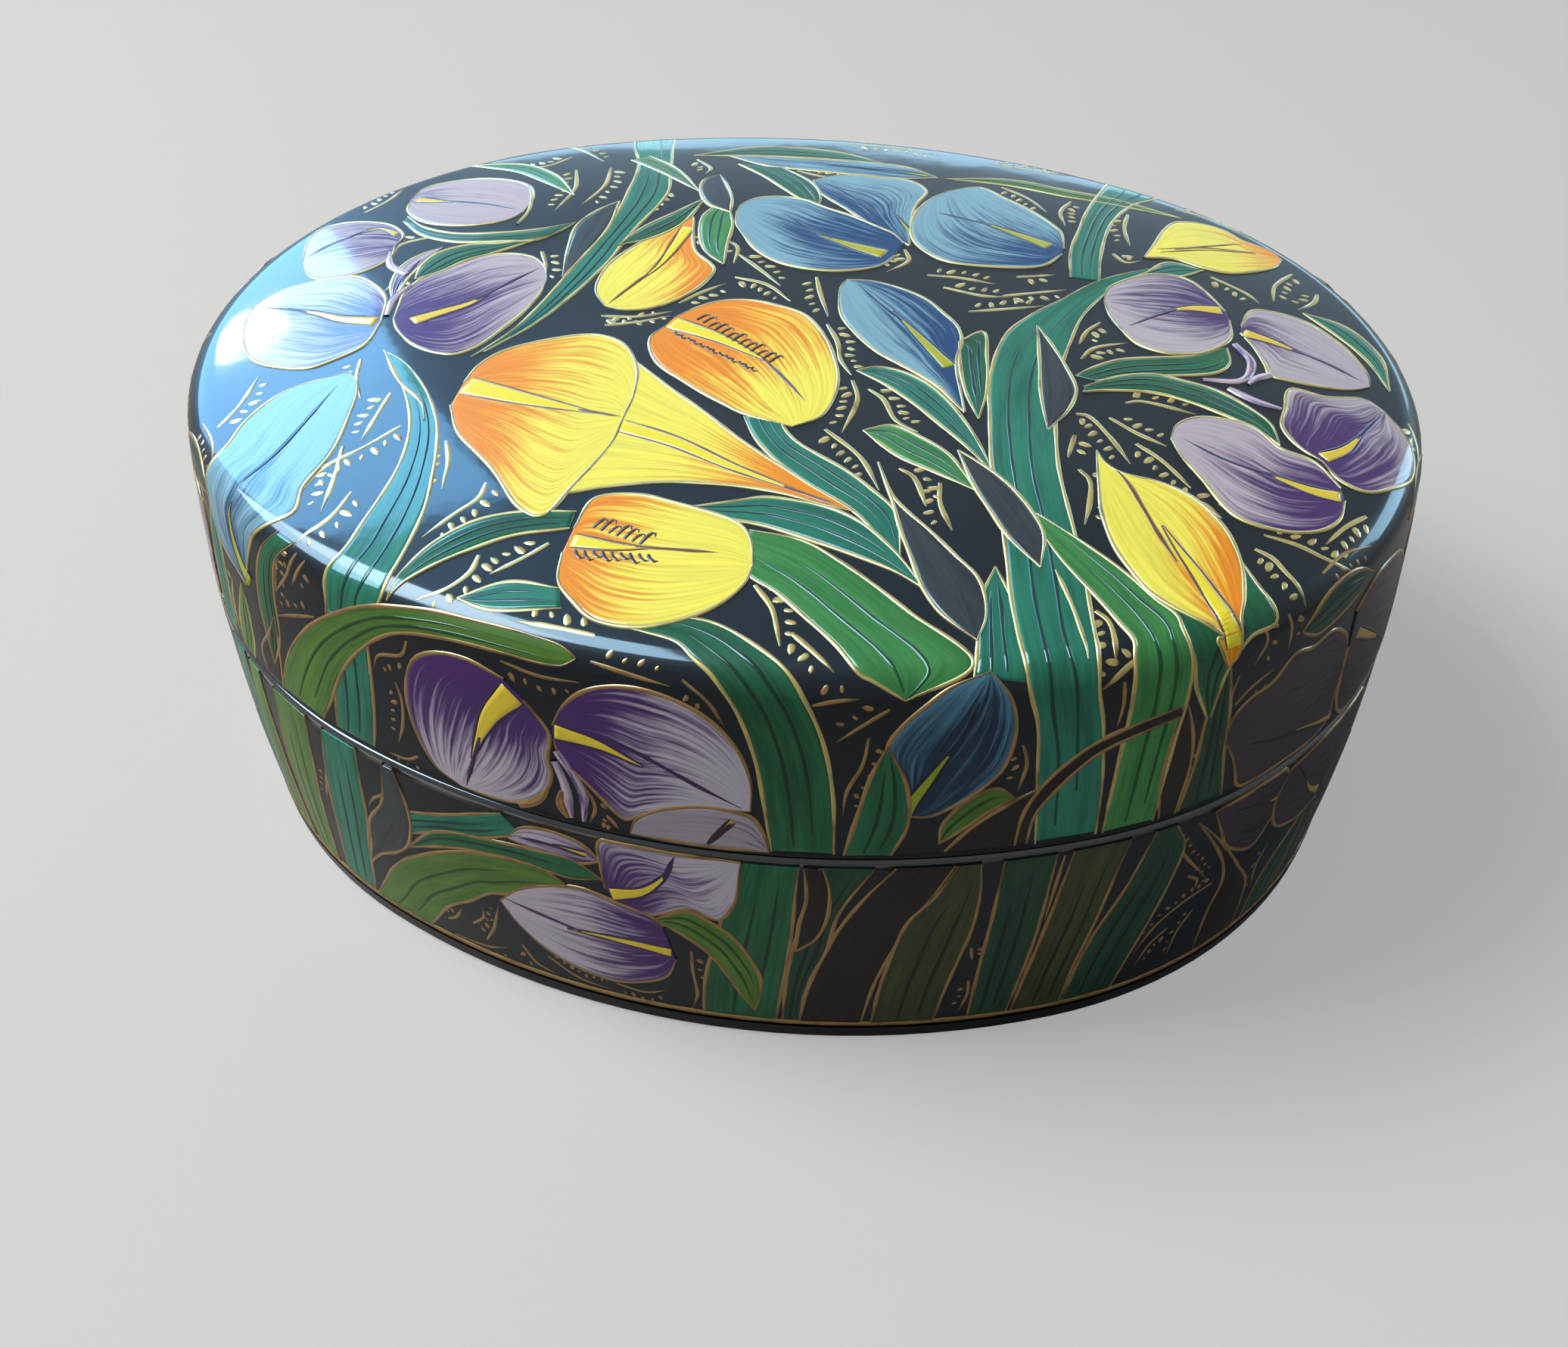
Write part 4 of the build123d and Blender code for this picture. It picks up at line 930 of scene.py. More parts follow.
class Brushwork:
    """Strokes and patches of paint on the skin, gathered into one mesh for one part of the box.

    Each vertex keeps what the paint needs: its way along and across its stroke in millimetres and
    the stroke's number, its light and deep paint, how deep the paint is, and the share across.
    """
    SINK = 0.03      # how far a stroke's edge dips into the coat, so that no gap shows
    PITCH = 0.022    # from one level of the painting to the next

    def __init__(self, skin, body):
        self.skin, self.body, self.step = skin, body, skin.step
        lip = skin.lip + 0.06
        foot = FLOOR - SEAM + 0.05
        self.limits = (lip, skin.crown_end) if body == "lid" else (foot, -lip)
        self.points, self.faces, self.stroke = [], [], []
        self.light, self.deep, self.grade, self.span = [], [], [], []
        self.count = 0
        self.strokes = 0

    def keep(self, points, faces, along, across, span, grade, light, deep):
        n = len(points)
        self.points.append(points)
        self.faces.append(faces)
        self.stroke.append(np.stack([along, across, np.full(n, float(self.strokes))], -1))
        self.span.append(span)
        self.grade.append(np.clip(grade, -0.3, 1.3))
        self.light.append(np.tile([*as_linear(light), 1], (n, 1)))
        self.deep.append(np.tile([*as_linear(deep), 1], (n, 1)))
        self.count += n
        self.strokes += 1

    def patch(self, left, right, paint, level, grade=(0.5, 0, 0, 0), swell=0.0):
        """Fills between two edges: straight across the chart from a point of one edge to the
        point at the same share of the other. Its border dips into the coat."""
        length = max(length_of(left), length_of(right))
        rows = max(5, int(length / self.step))
        a, b = smooth(left, rows), smooth(right, rows)
        width = np.linalg.norm(a - b, axis=1).max()
        columns = max(5, int(width / self.step))
        along = np.pad(np.linspace(0.004, 0.996, rows), 1, mode="edge")
        span = np.pad(np.linspace(-1, 1, columns), 1, mode="edge")
        a, b = (np.stack([np.interp(along, np.linspace(0, 1, rows), e[:, i]) for i in (0, 1)],
            -1) for e in (a, b))
        share = (span + 1)[None, :, None] / 2
        chart = a[:, None] * (1 - share) + b[:, None] * share
        lift = np.full(chart.shape[:2], level * self.PITCH + 0.008)
        lift += swell * (1 - span[None, :] ** 2)
        lift[[0, -1]] = -self.SINK
        lift[:, [0, -1]] = -self.SINK
        points, _ = self.skin.at(chart, lift, *self.limits)
        faces = grid_faces(*chart.shape[:2], start=self.count)
        du, dv = np.diff(chart, axis=0)[:, :-1], np.diff(chart, axis=1)[:-1]
        if (du[..., 0] * dv[..., 1] - du[..., 1] * dv[..., 0]).sum() > 0:
            faces = faces[:, ::-1]
        span = np.broadcast_to(span[None, :], chart.shape[:2]).ravel()
        way = np.broadcast_to(along[:, None], chart.shape[:2]).ravel()
        light, deep = PAINTS[paint] if isinstance(paint, str) else paint
        deepness = grade[0] + grade[1] * way + grade[2] * span + grade[3] * np.abs(span)
        self.keep(points.reshape(-1, 3), faces, way * length, span * width / 2, span, deepness, light, deep)

    def ribbon(self, path, width, height, colours, ends=(0.35, 0.35), wave=0.12, level=0, swell=0.5):
        """A brush line along a path: a low rounded ridge, thinned at its ends, whose width waves."""
        rows = max(6, int(length_of(path) / self.step) + 2)
        chart = smooth(path, rows)
        point, normal = self.skin.at(chart, np.zeros(rows), *self.limits)
        forward = np.gradient(point, axis=0)
        aside = np.cross(normal, forward)
        aside /= np.maximum(np.linalg.norm(aside, axis=1, keepdims=True), 1e-9)
        t = np.linspace(0, 1, rows)
        thin = np.minimum(1, ends[0] + (1 - ends[0]) * t / 0.18) * np.minimum(1,
            ends[1] + (1 - ends[1]) * (1 - t) / 0.3)
        wobble = 1 + wave * np.sin(t * length_of(path) * 1.3 + self.strokes * 2.1)
        half = width / 2 * thin * wobble
        offsets = np.array([-1, -0.8, 0, 0.8, 1])
        base = level * self.PITCH + 0.008
        lifts = np.array([-self.SINK, base, base + height, base, -self.SINK])
        points = point[:, None] + aside[:, None] * (offsets[None, :, None] * half[:, None, None]) \
            + normal[:, None] * lifts[None, :, None]
        faces = grid_faces(rows, 5, start=self.count)[:, ::-1]
        span = np.broadcast_to(offsets[None, :], (rows, 5)).ravel()
        way = np.repeat(t * length_of(path), 5)
        self.keep(points.reshape(-1, 3), faces, way, span * width / 2, span, np.repeat(1 - thin, 5), *colours)

    def dot(self, spot, direction, size, colours, height=0.012):
        """A touch of the brush: a short ridge, pointed where the brush left."""
        direction = np.asarray(direction) / max(np.linalg.norm(direction), 1e-9)
        spot = np.asarray(spot)
        self.ribbon([spot - direction * size, spot, spot + direction * size], size * 1.15, height, colours,
                    ends=(0.45, 0.2), wave=0)

    def build(self, name, material, slot="painted_lacquer"):
        if not self.points:
            raise RuntimeError(name + " has no strokes")
        points = np.concatenate(self.points)
        return make_object(name, points, np.concatenate(self.faces).tolist(), material, self.body, {
            "stroke": ("FLOAT_VECTOR", np.concatenate(self.stroke)),
            "span": ("FLOAT", np.concatenate(self.span)),
            "grade": ("FLOAT", np.concatenate(self.grade)),
            "light": ("FLOAT_COLOR", np.concatenate(self.light)),
            "deep": ("FLOAT_COLOR", np.concatenate(self.deep)),
        })


# ---------------------------------------------------------------- materials

def add(tree, kind, inputs=None, **settings):
    """Adds a shader node. An input takes a value or is linked to another node's output."""
    node = tree.nodes.new("ShaderNode" + kind)
    for key, value in settings.items():
        setattr(node, key, value)
    for key, value in (inputs or {}).items():
        if isinstance(value, bpy.types.NodeSocket):
            tree.links.new(value, node.inputs[key])
        else:
            node.inputs[key].default_value = value
    return node


def new_material(name):
    material = bpy.data.materials.new(name)
    material.use_nodes = True
    tree = material.node_tree
    tree.nodes.clear()
    return material, tree


def per_metre(millimetres):
    """Noise scale on Object coordinates, in metres, for features of this size."""
    return 1 / (millimetres * MM)


def varnish_relief(tree):
    """Hand-laid varnish: slow waves from the pulp beneath, and specks of dust held in it."""
    place = add(tree, "TexCoord").outputs["Object"]
    waves = add(tree, "TexNoise", {"Vector": place, "Scale": per_metre(14), "Detail": 1.0})
    ripple = add(tree, "TexNoise", {"Vector": place, "Scale": per_metre(2.4), "Detail": 2.0})
    slow = add(tree, "Bump", {"Height": waves.outputs[0], "Distance": 0.16 * MM, "Strength": 1.0})
    return add(tree, "Bump", {"Height": ripple.outputs[0], "Distance": 0.011 * MM, "Strength": 1.0,
                              "Normal": slow.outputs[0]}).outputs[0]


def finish(tree, colour, relief, roughness, coat=VARNISH, coat_roughness=0.07, metallic=0.0):
    """Principled shader with a clear varnish coat. colour is a socket or a constant."""
    shader = add(tree, "BsdfPrincipled", {
        "Base Color": colour, "Roughness": roughness, "Metallic": metallic, "Specular IOR Level": 0.05,
        "Coat Weight": coat, "Coat Roughness": coat_roughness, "Coat IOR": 1.55,
        "Normal": relief, "Coat Normal": relief})
    add(tree, "OutputMaterial", {"Surface": shader.outputs[0]})


def ground_lacquer(colour):
    """Black ground under varnish: deep, with a blue tint that is partly a painted reflection of a blue sky,
    and broad soft reflections. The varnish stands thickest on the base's rim, which shines like a wet line
    under the dull rim of the lid."""
    material, tree = new_material("varnished black ground")
    place = add(tree, "SeparateXYZ", {0: add(tree, "TexCoord").outputs["Object"]})
    above = add(tree, "Math", {0: place.outputs["Z"], 1: SEAM * MM}, operation="SUBTRACT")
    pooled = ramp(tree, above.outputs[0], -0.9 * MM, -0.5 * MM, start=VARNISH, end=VARNISH_BASE_RIM)
    dull = ramp(tree, above.outputs[0], 0, 0.02 * MM, start=VARNISH_BASE_RIM, end=VARNISH_LID_RIM)
    restored = ramp(tree, above.outputs[0], 0.7 * MM, 1.0 * MM, start=0, end=VARNISH - VARNISH_LID_RIM)
    lid = add(tree, "Math", {0: dull, 1: restored}, operation="ADD")
    coat = add(tree, "Math", {0: pooled, 1: lid.outputs[0]}, operation="MINIMUM")
    finish(tree, (*colour, 1), varnish_relief(tree), 0.45, coat=coat.outputs[0], coat_roughness=0.08)
    return material


def brush_field(tree, along, across):
    """Noise drawn out along the stroke, as the hairs of a brush leave it. Sizes in millimetres."""
    stroke = add(tree, "Attribute", attribute_name="stroke").outputs["Vector"]
    scaled = add(tree, "VectorMath", {0: stroke, 1: (1 / along, 1 / across, 7.31)}, operation="MULTIPLY")
    return add(tree, "TexNoise", {"Vector": scaled.outputs[0],
        "Scale": 1.0, "Detail": 3.0, "Roughness": 0.6}).outputs[0]


def ramp(tree, value, low, high, start=0.0, end=1.0):
    return add(tree, "MapRange", {"Value": value, "From Min": low, "From Max": high, "To Min": start,
        "To Max": end},
               interpolation_type="SMOOTHSTEP").outputs[0]


def petal_gouache():
    """Gouache laid wet over dry: the deep paint is drawn out over the light in fine hairs."""
    material, tree = new_material("gouache petals under varnish")
    hairs = brush_field(tree, 9.0, 0.34)
    cloud = brush_field(tree, 7.0, 3.0)
    grade = add(tree, "Attribute", attribute_name="grade").outputs["Fac"]
    light = add(tree, "Attribute", attribute_name="light").outputs["Color"]
    deep = add(tree, "Attribute", attribute_name="deep").outputs["Color"]
    pull = add(tree, "Math", {0: hairs, 1: 1.5, 2: grade}, operation="MULTIPLY_ADD").outputs[0]
    pull = add(tree, "Math", {0: cloud, 1: 0.5, 2: pull}, operation="MULTIPLY_ADD").outputs[0]
    share = ramp(tree, pull, 1.18, 1.78)
    mixed = add(tree, "Mix", {"Factor": share, 6: light, 7: deep}, data_type="RGBA")
    shade = ramp(tree, hairs, 0.3, 0.72, 1.06, 0.86)
    toned = add(tree, "VectorMath", {0: mixed.outputs[2], "Scale": shade}, operation="SCALE")
    finish(tree, toned.outputs[0], varnish_relief(tree), 0.5)
    return material


def leaf_gouache():
    """Green gouache, faintly streaked along the leaf."""
    material, tree = new_material("gouache leaves under varnish")
    hairs = brush_field(tree, 14.0, 0.5)
    cloud = brush_field(tree, 9.0, 2.0)
    light = add(tree, "Attribute", attribute_name="light").outputs["Color"]
    deep = add(tree, "Attribute", attribute_name="deep").outputs["Color"]
    pull = add(tree, "Math", {0: hairs, 1: 0.8, 2: cloud}, operation="MULTIPLY_ADD").outputs[0]
    mixed = add(tree, "Mix", {"Factor": ramp(tree, pull, 0.6, 1.25), 6: light, 7: deep}, data_type="RGBA")
    finish(tree, mixed.outputs[2], varnish_relief(tree), 0.5)
    return material


def line_gouache():
    """Thin opaque lines and veins, a little broken where the brush ran dry."""
    material, tree = new_material("gouache lines under varnish")
    hairs = brush_field(tree, 3.0, 0.3)
    light = add(tree, "Attribute", attribute_name="light").outputs["Color"]
    deep = add(tree, "Attribute", attribute_name="deep").outputs["Color"]
    mixed = add(tree, "Mix", {"Factor": ramp(tree, hairs, 0.42, 0.66), 6: light, 7: deep}, data_type="RGBA")
    finish(tree, mixed.outputs[2], varnish_relief(tree), 0.5)
    return material


def gold_paint():
    """Shell gold bound with glue: cream where it is thick, brown where the line thins."""
    material, tree = new_material("gold paint under varnish")
    hairs = brush_field(tree, 2.6, 0.5)
    grade = add(tree, "Attribute", attribute_name="grade").outputs["Fac"]
    light = add(tree, "Attribute", attribute_name="light").outputs["Color"]
    deep = add(tree, "Attribute", attribute_name="deep").outputs["Color"]
    worn = add(tree, "Math", {0: grade, 1: 0.35, 2: hairs}, operation="MULTIPLY_ADD").outputs[0]
    mixed = add(tree, "Mix", {"Factor": ramp(tree, worn, 0.46, 0.8), 6: light, 7: deep}, data_type="RGBA")
    finish(tree, mixed.outputs[2], varnish_relief(tree), 0.38, coat_roughness=0.1, metallic=0.25)
    return material


def black_lacquer():
    """Black paint under one thin coat of varnish, satin, rubbed a little where it is handled."""
    material, tree = new_material("thin black lacquer")
    place = add(tree, "TexCoord").outputs["Object"]
    rub = add(tree, "TexNoise", {"Vector": place, "Scale": per_metre(5), "Detail": 3.0}).outputs[0]
    mixed = add(tree, "Mix", {"Factor": ramp(tree, rub, 0.5, 0.75), 6: rgba("#0D0D0F"),
        7: rgba("#1D1A17")}, data_type="RGBA")
    finish(tree, mixed.outputs[2], varnish_relief(tree), 0.42, coat=VARNISH, coat_roughness=0.15)
    return material


def lining_paper(colour):
    """Paper painted matt black, its fibres just showing."""
    material, tree = new_material("matt black paper lining")
    place = add(tree, "TexCoord").outputs["Object"]
    fibre = add(tree, "TexNoise", {"Vector": place, "Scale": per_metre(0.7), "Detail": 4.0}).outputs[0]
    wash = add(tree, "TexNoise", {"Vector": place, "Scale": per_metre(18), "Detail": 2.0}).outputs[0]
    tone = ramp(tree, add(tree, "Math", {0: fibre, 1: 0.5, 2: wash}, operation="MULTIPLY_ADD").outputs[0],
        0.55, 0.95, 0.75, 1.7)
    toned = add(tree, "VectorMath", {0: tuple(colour), "Scale": tone}, operation="SCALE").outputs[0]
    relief = add(tree, "Bump", {"Height": fibre, "Distance": 0.05 * MM, "Strength": 0.7}).outputs[0]
    shader = add(tree, "BsdfPrincipled", {"Base Color": toned, "Roughness": 0.78, "Normal": relief,
        "Specular IOR Level": 0.15})
    add(tree, "OutputMaterial", {"Surface": shader.outputs[0]})
    return material


def pulp_board():
    """Pressed paper pulp: warm grey-brown, fibrous and matt."""
    material, tree = new_material("pressed paper pulp")
    place = add(tree, "TexCoord").outputs["Object"]
    fibre = add(tree, "TexNoise", {"Vector": place, "Scale": per_metre(0.8), "Detail": 5.0}).outputs[0]
    mixed = add(tree, "Mix", {"Factor": ramp(tree, fibre, 0.35, 0.7), 6: rgba("#B39B78"),
        7: rgba("#8C7452")}, data_type="RGBA")
    relief = add(tree, "Bump", {"Height": fibre, "Distance": 0.08 * MM, "Strength": 0.8}).outputs[0]
    shader = add(tree, "BsdfPrincipled", {"Base Color": mixed.outputs[2], "Roughness": 0.9, "Normal": relief})
    add(tree, "OutputMaterial", {"Surface": shader.outputs[0]})
    return material


MADE = {}


def material(maker, *values):
    """Each material is made once and shared."""
    if maker.__name__ not in MADE:
        MADE[maker.__name__] = maker(*values)
    return MADE[maker.__name__]


# ---------------------------------------------------------------- what each operator works through

def scene_values(context):
    return Skin(context.scene.box_sizes), context.scene.box_colours


def repeated(skin, items, meeting=(), elsewhere=()):
    """Wall motifs of all three turns, as (motif, points to chart, paints that change)."""
    for number, (offset, sign, paints) in enumerate(TURNS):
        for item in (*items, *(() if number else meeting), *(elsewhere if number else ())):
            yield item, lambda points, o=offset, g=sign: skin.chart(points, o, g, walls=True), paints


def motifs(skin, body, kind):
    """Every petal, leaf or sprig of one part of the box."""
    tables = {
        ("lid", "petals"): (TOP_PETALS, LID_WALL_PETALS, MEETING_PETALS, ()),
        ("lid", "leaves"): (TOP_LEAVES, LID_WALL_LEAVES, (), STRAPS_ELSEWHERE),
        ("lid", "sprigs"): (TOP_SPRIGS, LID_WALL_SPRIGS, (), ()),
        ("base", "petals"): ((), BASE_WALL_PETALS, MEETING_BASE_PETALS, ()),
        ("base", "leaves"): (BASE_END_LEAVES, BASE_WALL_LEAVES, (), ()),
        ("base", "sprigs"): ((), BASE_WALL_SPRIGS, (), ()),
    }
    top, *wall = tables[body, kind]
    for item in top:
        yield item, skin.chart, {}
    yield from repeated(skin, *wall)


def paint_leaves(skin, body):
    brush = Brushwork(skin, body)
    for leaf, chart, _ in motifs(skin, body, "leaves"):
        brush.patch(chart(leaf.left), chart(leaf.right), leaf.paint, leaf.level)
    return brush


def paint_petals(skin, body):
    brush = Brushwork(skin, body)
    for petal, chart, paints in motifs(skin, body, "petals"):
        paint = paints.get(petal.paint, petal.paint)
        brush.patch(chart(petal.left), chart(petal.right), paint, petal.level, petal.grade)
    return brush


def wedge(brush, path, width, paint, level):
    """A vein: widest at its root, pointed at its tip, with a brown line down each side."""
    light, dark = VEINS[paint]
    count = 24
    line = smooth(path, count)
    forward = np.gradient(line, axis=0)
    aside = np.stack([-forward[:, 1], forward[:, 0]], -1) / np.linalg.norm(forward, axis=1, keepdims=True)
    half = width / 2 * (1 - np.linspace(0, 1, count) ** 1.4)[:, None]
    brush.patch(line + aside * half, line - aside * half, (light, light), level + 0.2)
    for side in (1, -1):
        edge = line + side * aside * (half + 0.06)
        brush.ribbon(edge, 0.3, 0.002, (dark, dark), ends=(0.4, 0.5), level=level + 0.3)


def paint_lines(skin, body):
    """Veins and midribs of the petals, the fine lines down the leaves, and ticks beside a vein."""
    brush = Brushwork(skin, body)
    for petal, chart, paints in motifs(skin, body, "petals"):
        paint = paints.get(petal.paint, petal.paint)
        dark = VEINS[paint][1]
        vein, rib = chart(petal.vein), chart(petal.rib)
        wedge(brush, vein, petal.width, paint, petal.level)
        brush.ribbon(rib, 0.42, 0.003, (dark, dark), ends=(0.5, 0.1), level=petal.level + 0.3)
    for number, (leaf, chart, _) in enumerate(motifs(skin, body, "leaves")):
        if leaf.paint in ("bud", "umber"):
            continue
        left, right = smooth(chart(leaf.left), 48), smooth(chart(leaf.right), 48)
        wide = np.linalg.norm(left - right, axis=1).max() > 2.4
        dark = LEAF_LINES[leaf.paint]
        for share, first, last in ((0.36, 1, 40), (0.66, 3, 44)) if wide else ((0.5, 3, 42),):
            share += 0.06 * sin(3 * number)
            brush.ribbon((left * (1 - share) + right * share)[first:last:4], 0.34, 0.002, (dark, dark),
                ends=(0.5, 0.1),
                         level=leaf.level + 0.3)
    if body == "base":
        return brush
    for light, dark, path in TOP_FILAMENTS:
        brush.ribbon(skin.chart(path), 0.7, 0.004, (light, dark), ends=(0.8, 0.4), level=4.6)
    for offset, sign, _ in TURNS:
        for light, dark, path in WALL_FILAMENTS:
            brush.ribbon(skin.chart(path, offset, sign, walls=True), 0.7, 0.004, (light, dark),
                ends=(0.8, 0.4), level=5.6)
    for first, last, count, tick in TOP_COMBS:
        for i, t in enumerate(np.linspace(0, 1, count)):
            spot = np.array(first) * (1 - t) + np.array(last) * t
            reach = np.array(tick) * (1 + 0.25 * sin(2.3 * i))
            curl = [spot, spot + reach * 0.6 + (0.1, 0), spot + reach + (0.4, 0.05),
                spot + reach * 0.7 + (0.65, -0.05)]
            brush.ribbon(skin.chart([tuple(p) for p in curl]), 0.34, 0.003, ("#54320F", "#3A200C"),
                ends=(0.8, 0.3), level=4.6)
    return brush


def gold_on(brush, chart, colours):
    """Light and thin gold, and how bold: it is laid thick on top of the lid, thin elsewhere, and off the top
    its colours are darkened as painted shade.
    """
    if brush.body == "lid" and chart == brush.skin.chart:
        return (colours.gold, colours.gold_thin), 1.0
    return (colours.shaded_wall_gold, colours.shaded_wall_gold_thin), 0.7


def outline(brush, chart, item, colours):
    """Gold lines down both edges of a petal or leaf, on its own level."""
    gold, _ = gold_on(brush, chart, colours)
    for edge in (item.left, item.right):
        brush.ribbon(chart(edge), brush.skin.line, 0.01, gold, ends=(0.55, 0.4), level=item.level + 0.25)


def paint_outlines(skin, body, colours):
    brush = Brushwork(skin, body)
    for kind in ("leaves", "petals"):
        for item, chart, _ in motifs(skin, body, kind):
            outline(brush, chart, item, colours)
    return brush


def paint_sprigs(skin, body, colours):
    """A stroke that thins towards its end, and a row of touches beside it, smaller and smaller."""
    brush = Brushwork(skin, body)
    for number, (path, chart, _) in enumerate(motifs(skin, body, "sprigs")):
        line = chart(path)
        gold, bold = gold_on(brush, chart, colours)
        brush.ribbon(line, 1.3 * bold * skin.line, 0.012, gold, ends=(0.7, 0.25))
        length = length_of(line)
        count = max(2, int(length / 1.15))
        spots = smooth(line, count + 2)[1:-1]
        forward = np.gradient(smooth(line, count + 2), axis=0)[1:-1]
        forward /= np.linalg.norm(forward, axis=1, keepdims=True)
        side = 1 if number % 2 else -1
        aside = np.stack([-forward[:, 1], forward[:, 0]], -1) * side
        for i, (spot, ahead, off) in enumerate(zip(spots, forward, aside)):
            size = bold * (0.48 - 0.16 * i / count) * (1 + 0.22 * sin(5.1 * number + 3.7 * i))
            brush.dot(spot + off * (0.95 + 0.12 * sin(4.3 * i)),
                off + ahead * (0.5 + 0.4 * sin(2.9 * i + number)), size, gold)
    for path in TOP_LINES if body == "lid" else ():
        brush.ribbon(skin.chart(path), skin.line, 0.012, (colours.gold, colours.gold_thin), ends=(0.5, 0.4),
            level=3.5)
    return brush


# ---------------------------------------------------------------- operators

class BOX_OT_ground_coats(bpy.types.Operator):
    """Lay the varnished black ground over the base and the lid"""
    bl_idname = "box.ground_coats"
    bl_label = "Ground coats"

    AROUND = 480

    def carried(self, skin, rows):
        """Rows of (out, up), each carried round the oval: plan at that distance out, at that height."""
        angles = skin.angle(np.linspace(0, skin.turn_lengths[-1], self.AROUND, endpoint=False))
        out, up = np.asarray(rows).T
        plan = skin.plan(angles[None, :], out[:, None])
        return np.concatenate([plan, np.broadcast_to(up[:, None, None], (*plan.shape[:2], 1))], -1)

    def curve(self, skin, low, high, count, depth):
        out, up, _, _ = skin.profile(np.linspace(low, high, count), depth)
        return list(zip(out, up))

    def lip_rows(self, skin, sign):
        """Quarter round of the lip, then the flat edge in to where the pulp's inner face lies."""
        turn = np.linspace(0, pi / 2, 7)
        radius = skin.lip - skin.relief
        out = -skin.lip + radius * np.cos(turn)
        up = SEAM + sign * (skin.lip - radius * np.sin(turn)) - sign * skin.relief
        up = np.where(turn > 0, up, SEAM + sign * skin.lip)
        return [*zip(out, up), (-COAT_INSIDE, up[-1]), (-COAT_INSIDE, SEAM + sign * COAT_DEPTH)]

    def execute(self, context):
        skin, colours = scene_values(context)
        ground = material(ground_lacquer, colours.ground)
        inner = COAT_DEPTH
        foot = FLOOR - SEAM
        rows = [*self.curve(skin, foot, -skin.lip, 40, skin.relief), *self.lip_rows(skin, -1),
                *self.curve(skin, -COAT_DEPTH, foot, 12, inner)]
        grid = self.carried(skin, rows)
        faces = grid_faces(len(rows), self.AROUND, close_rows=True, close_columns=True)
        base = make_object("base_painted_ground", grid.reshape(-1, 3), faces.tolist(), ground, "base")
        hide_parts("base_ground_coat")

        outer = [*self.lip_rows(skin, 1)[::-1],
            *self.curve(skin, skin.lip, skin.wall_end, 26, skin.relief)[1:],
                 *self.curve(skin, skin.wall_end, skin.shoulder_end, 14, skin.relief)[1:],
                 *self.curve(skin, skin.shoulder_end, skin.crown_end - 1e-6, 34, skin.relief)[1:]]
        inside = [*self.curve(skin, COAT_DEPTH, skin.wall_end, 12, inner),
                  *self.curve(skin, skin.wall_end, skin.shoulder_end, 6, inner)[1:],
                  *self.curve(skin, skin.shoulder_end, skin.crown_end - 1e-6, 12, inner)[1:]]
        rows = [*inside[::-1], *outer]
        grid = self.carried(skin, rows)
        shrink = np.linspace(1, 0, 9)[1:-1]
        under = grid[0][None] * np.array([1, 1, 0]) * shrink[::-1, None, None] + [0, 0, inside[-1][1]]
        over = grid[-1][None] * np.array([1, 1, 0]) * shrink[:, None, None] + [0, 0, outer[-1][1]]
        grid = np.concatenate([under, grid, over])
        points = np.concatenate([grid.reshape(-1, 3), [[0, 0, inside[-1][1]], [0, 0, outer[-1][1]]]])
        faces = grid_faces(len(grid), self.AROUND, close_columns=True).tolist()
        turn = np.arange(self.AROUND)
        last = (len(grid) - 1) * self.AROUND
        faces += np.stack([np.full_like(turn, len(points) - 2), (turn + 1) % self.AROUND, turn], -1).tolist()
        faces += np.stack([np.full_like(turn, len(points) - 1), last + turn, last + (turn + 1) % self.AROUND],
            -1).tolist()
        lid = make_object("lid_painted_ground", points, faces, ground, "lid")
        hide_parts("lid_ground_coat")
        return {"FINISHED"}


class BOX_OT_leaves(bpy.types.Operator):
    """Paint the leaves and buds"""
    bl_idname = "box.leaves"
    bl_label = "Leaves"

    def execute(self, context):
        skin, _ = scene_values(context)
        for body in ("lid", "base"):
            paint_leaves(skin, body).build(body + "_leaves", material(leaf_gouache))
        return {"FINISHED"}


class BOX_OT_petals(bpy.types.Operator):
    """Paint the petals"""
    bl_idname = "box.petals"
    bl_label = "Petals"

    def execute(self, context):
        skin, _ = scene_values(context)
        for body in ("lid", "base"):
            paint_petals(skin, body).build(body + "_petals", material(petal_gouache))
        return {"FINISHED"}


class BOX_OT_petal_lines(bpy.types.Operator):
    """Draw the petals' veins and midribs"""
    bl_idname = "box.petal_lines"
    bl_label = "Petal lines"

    def execute(self, context):
        skin, _ = scene_values(context)
        for body in ("lid", "base"):
            paint_lines(skin, body).build(body + "_petal_lines", material(line_gouache))
        return {"FINISHED"}


class BOX_OT_gold_outlines(bpy.types.Operator):
    """Draw the gold outlines of petals and leaves"""
    bl_idname = "box.gold_outlines"
    bl_label = "Gold outlines"

    def execute(self, context):
        skin, colours = scene_values(context)
        gold = material(gold_paint)
        for body in ("lid", "base"):
            paint_outlines(skin, body, colours).build(body + "_gold_outlines", gold)
        return {"FINISHED"}


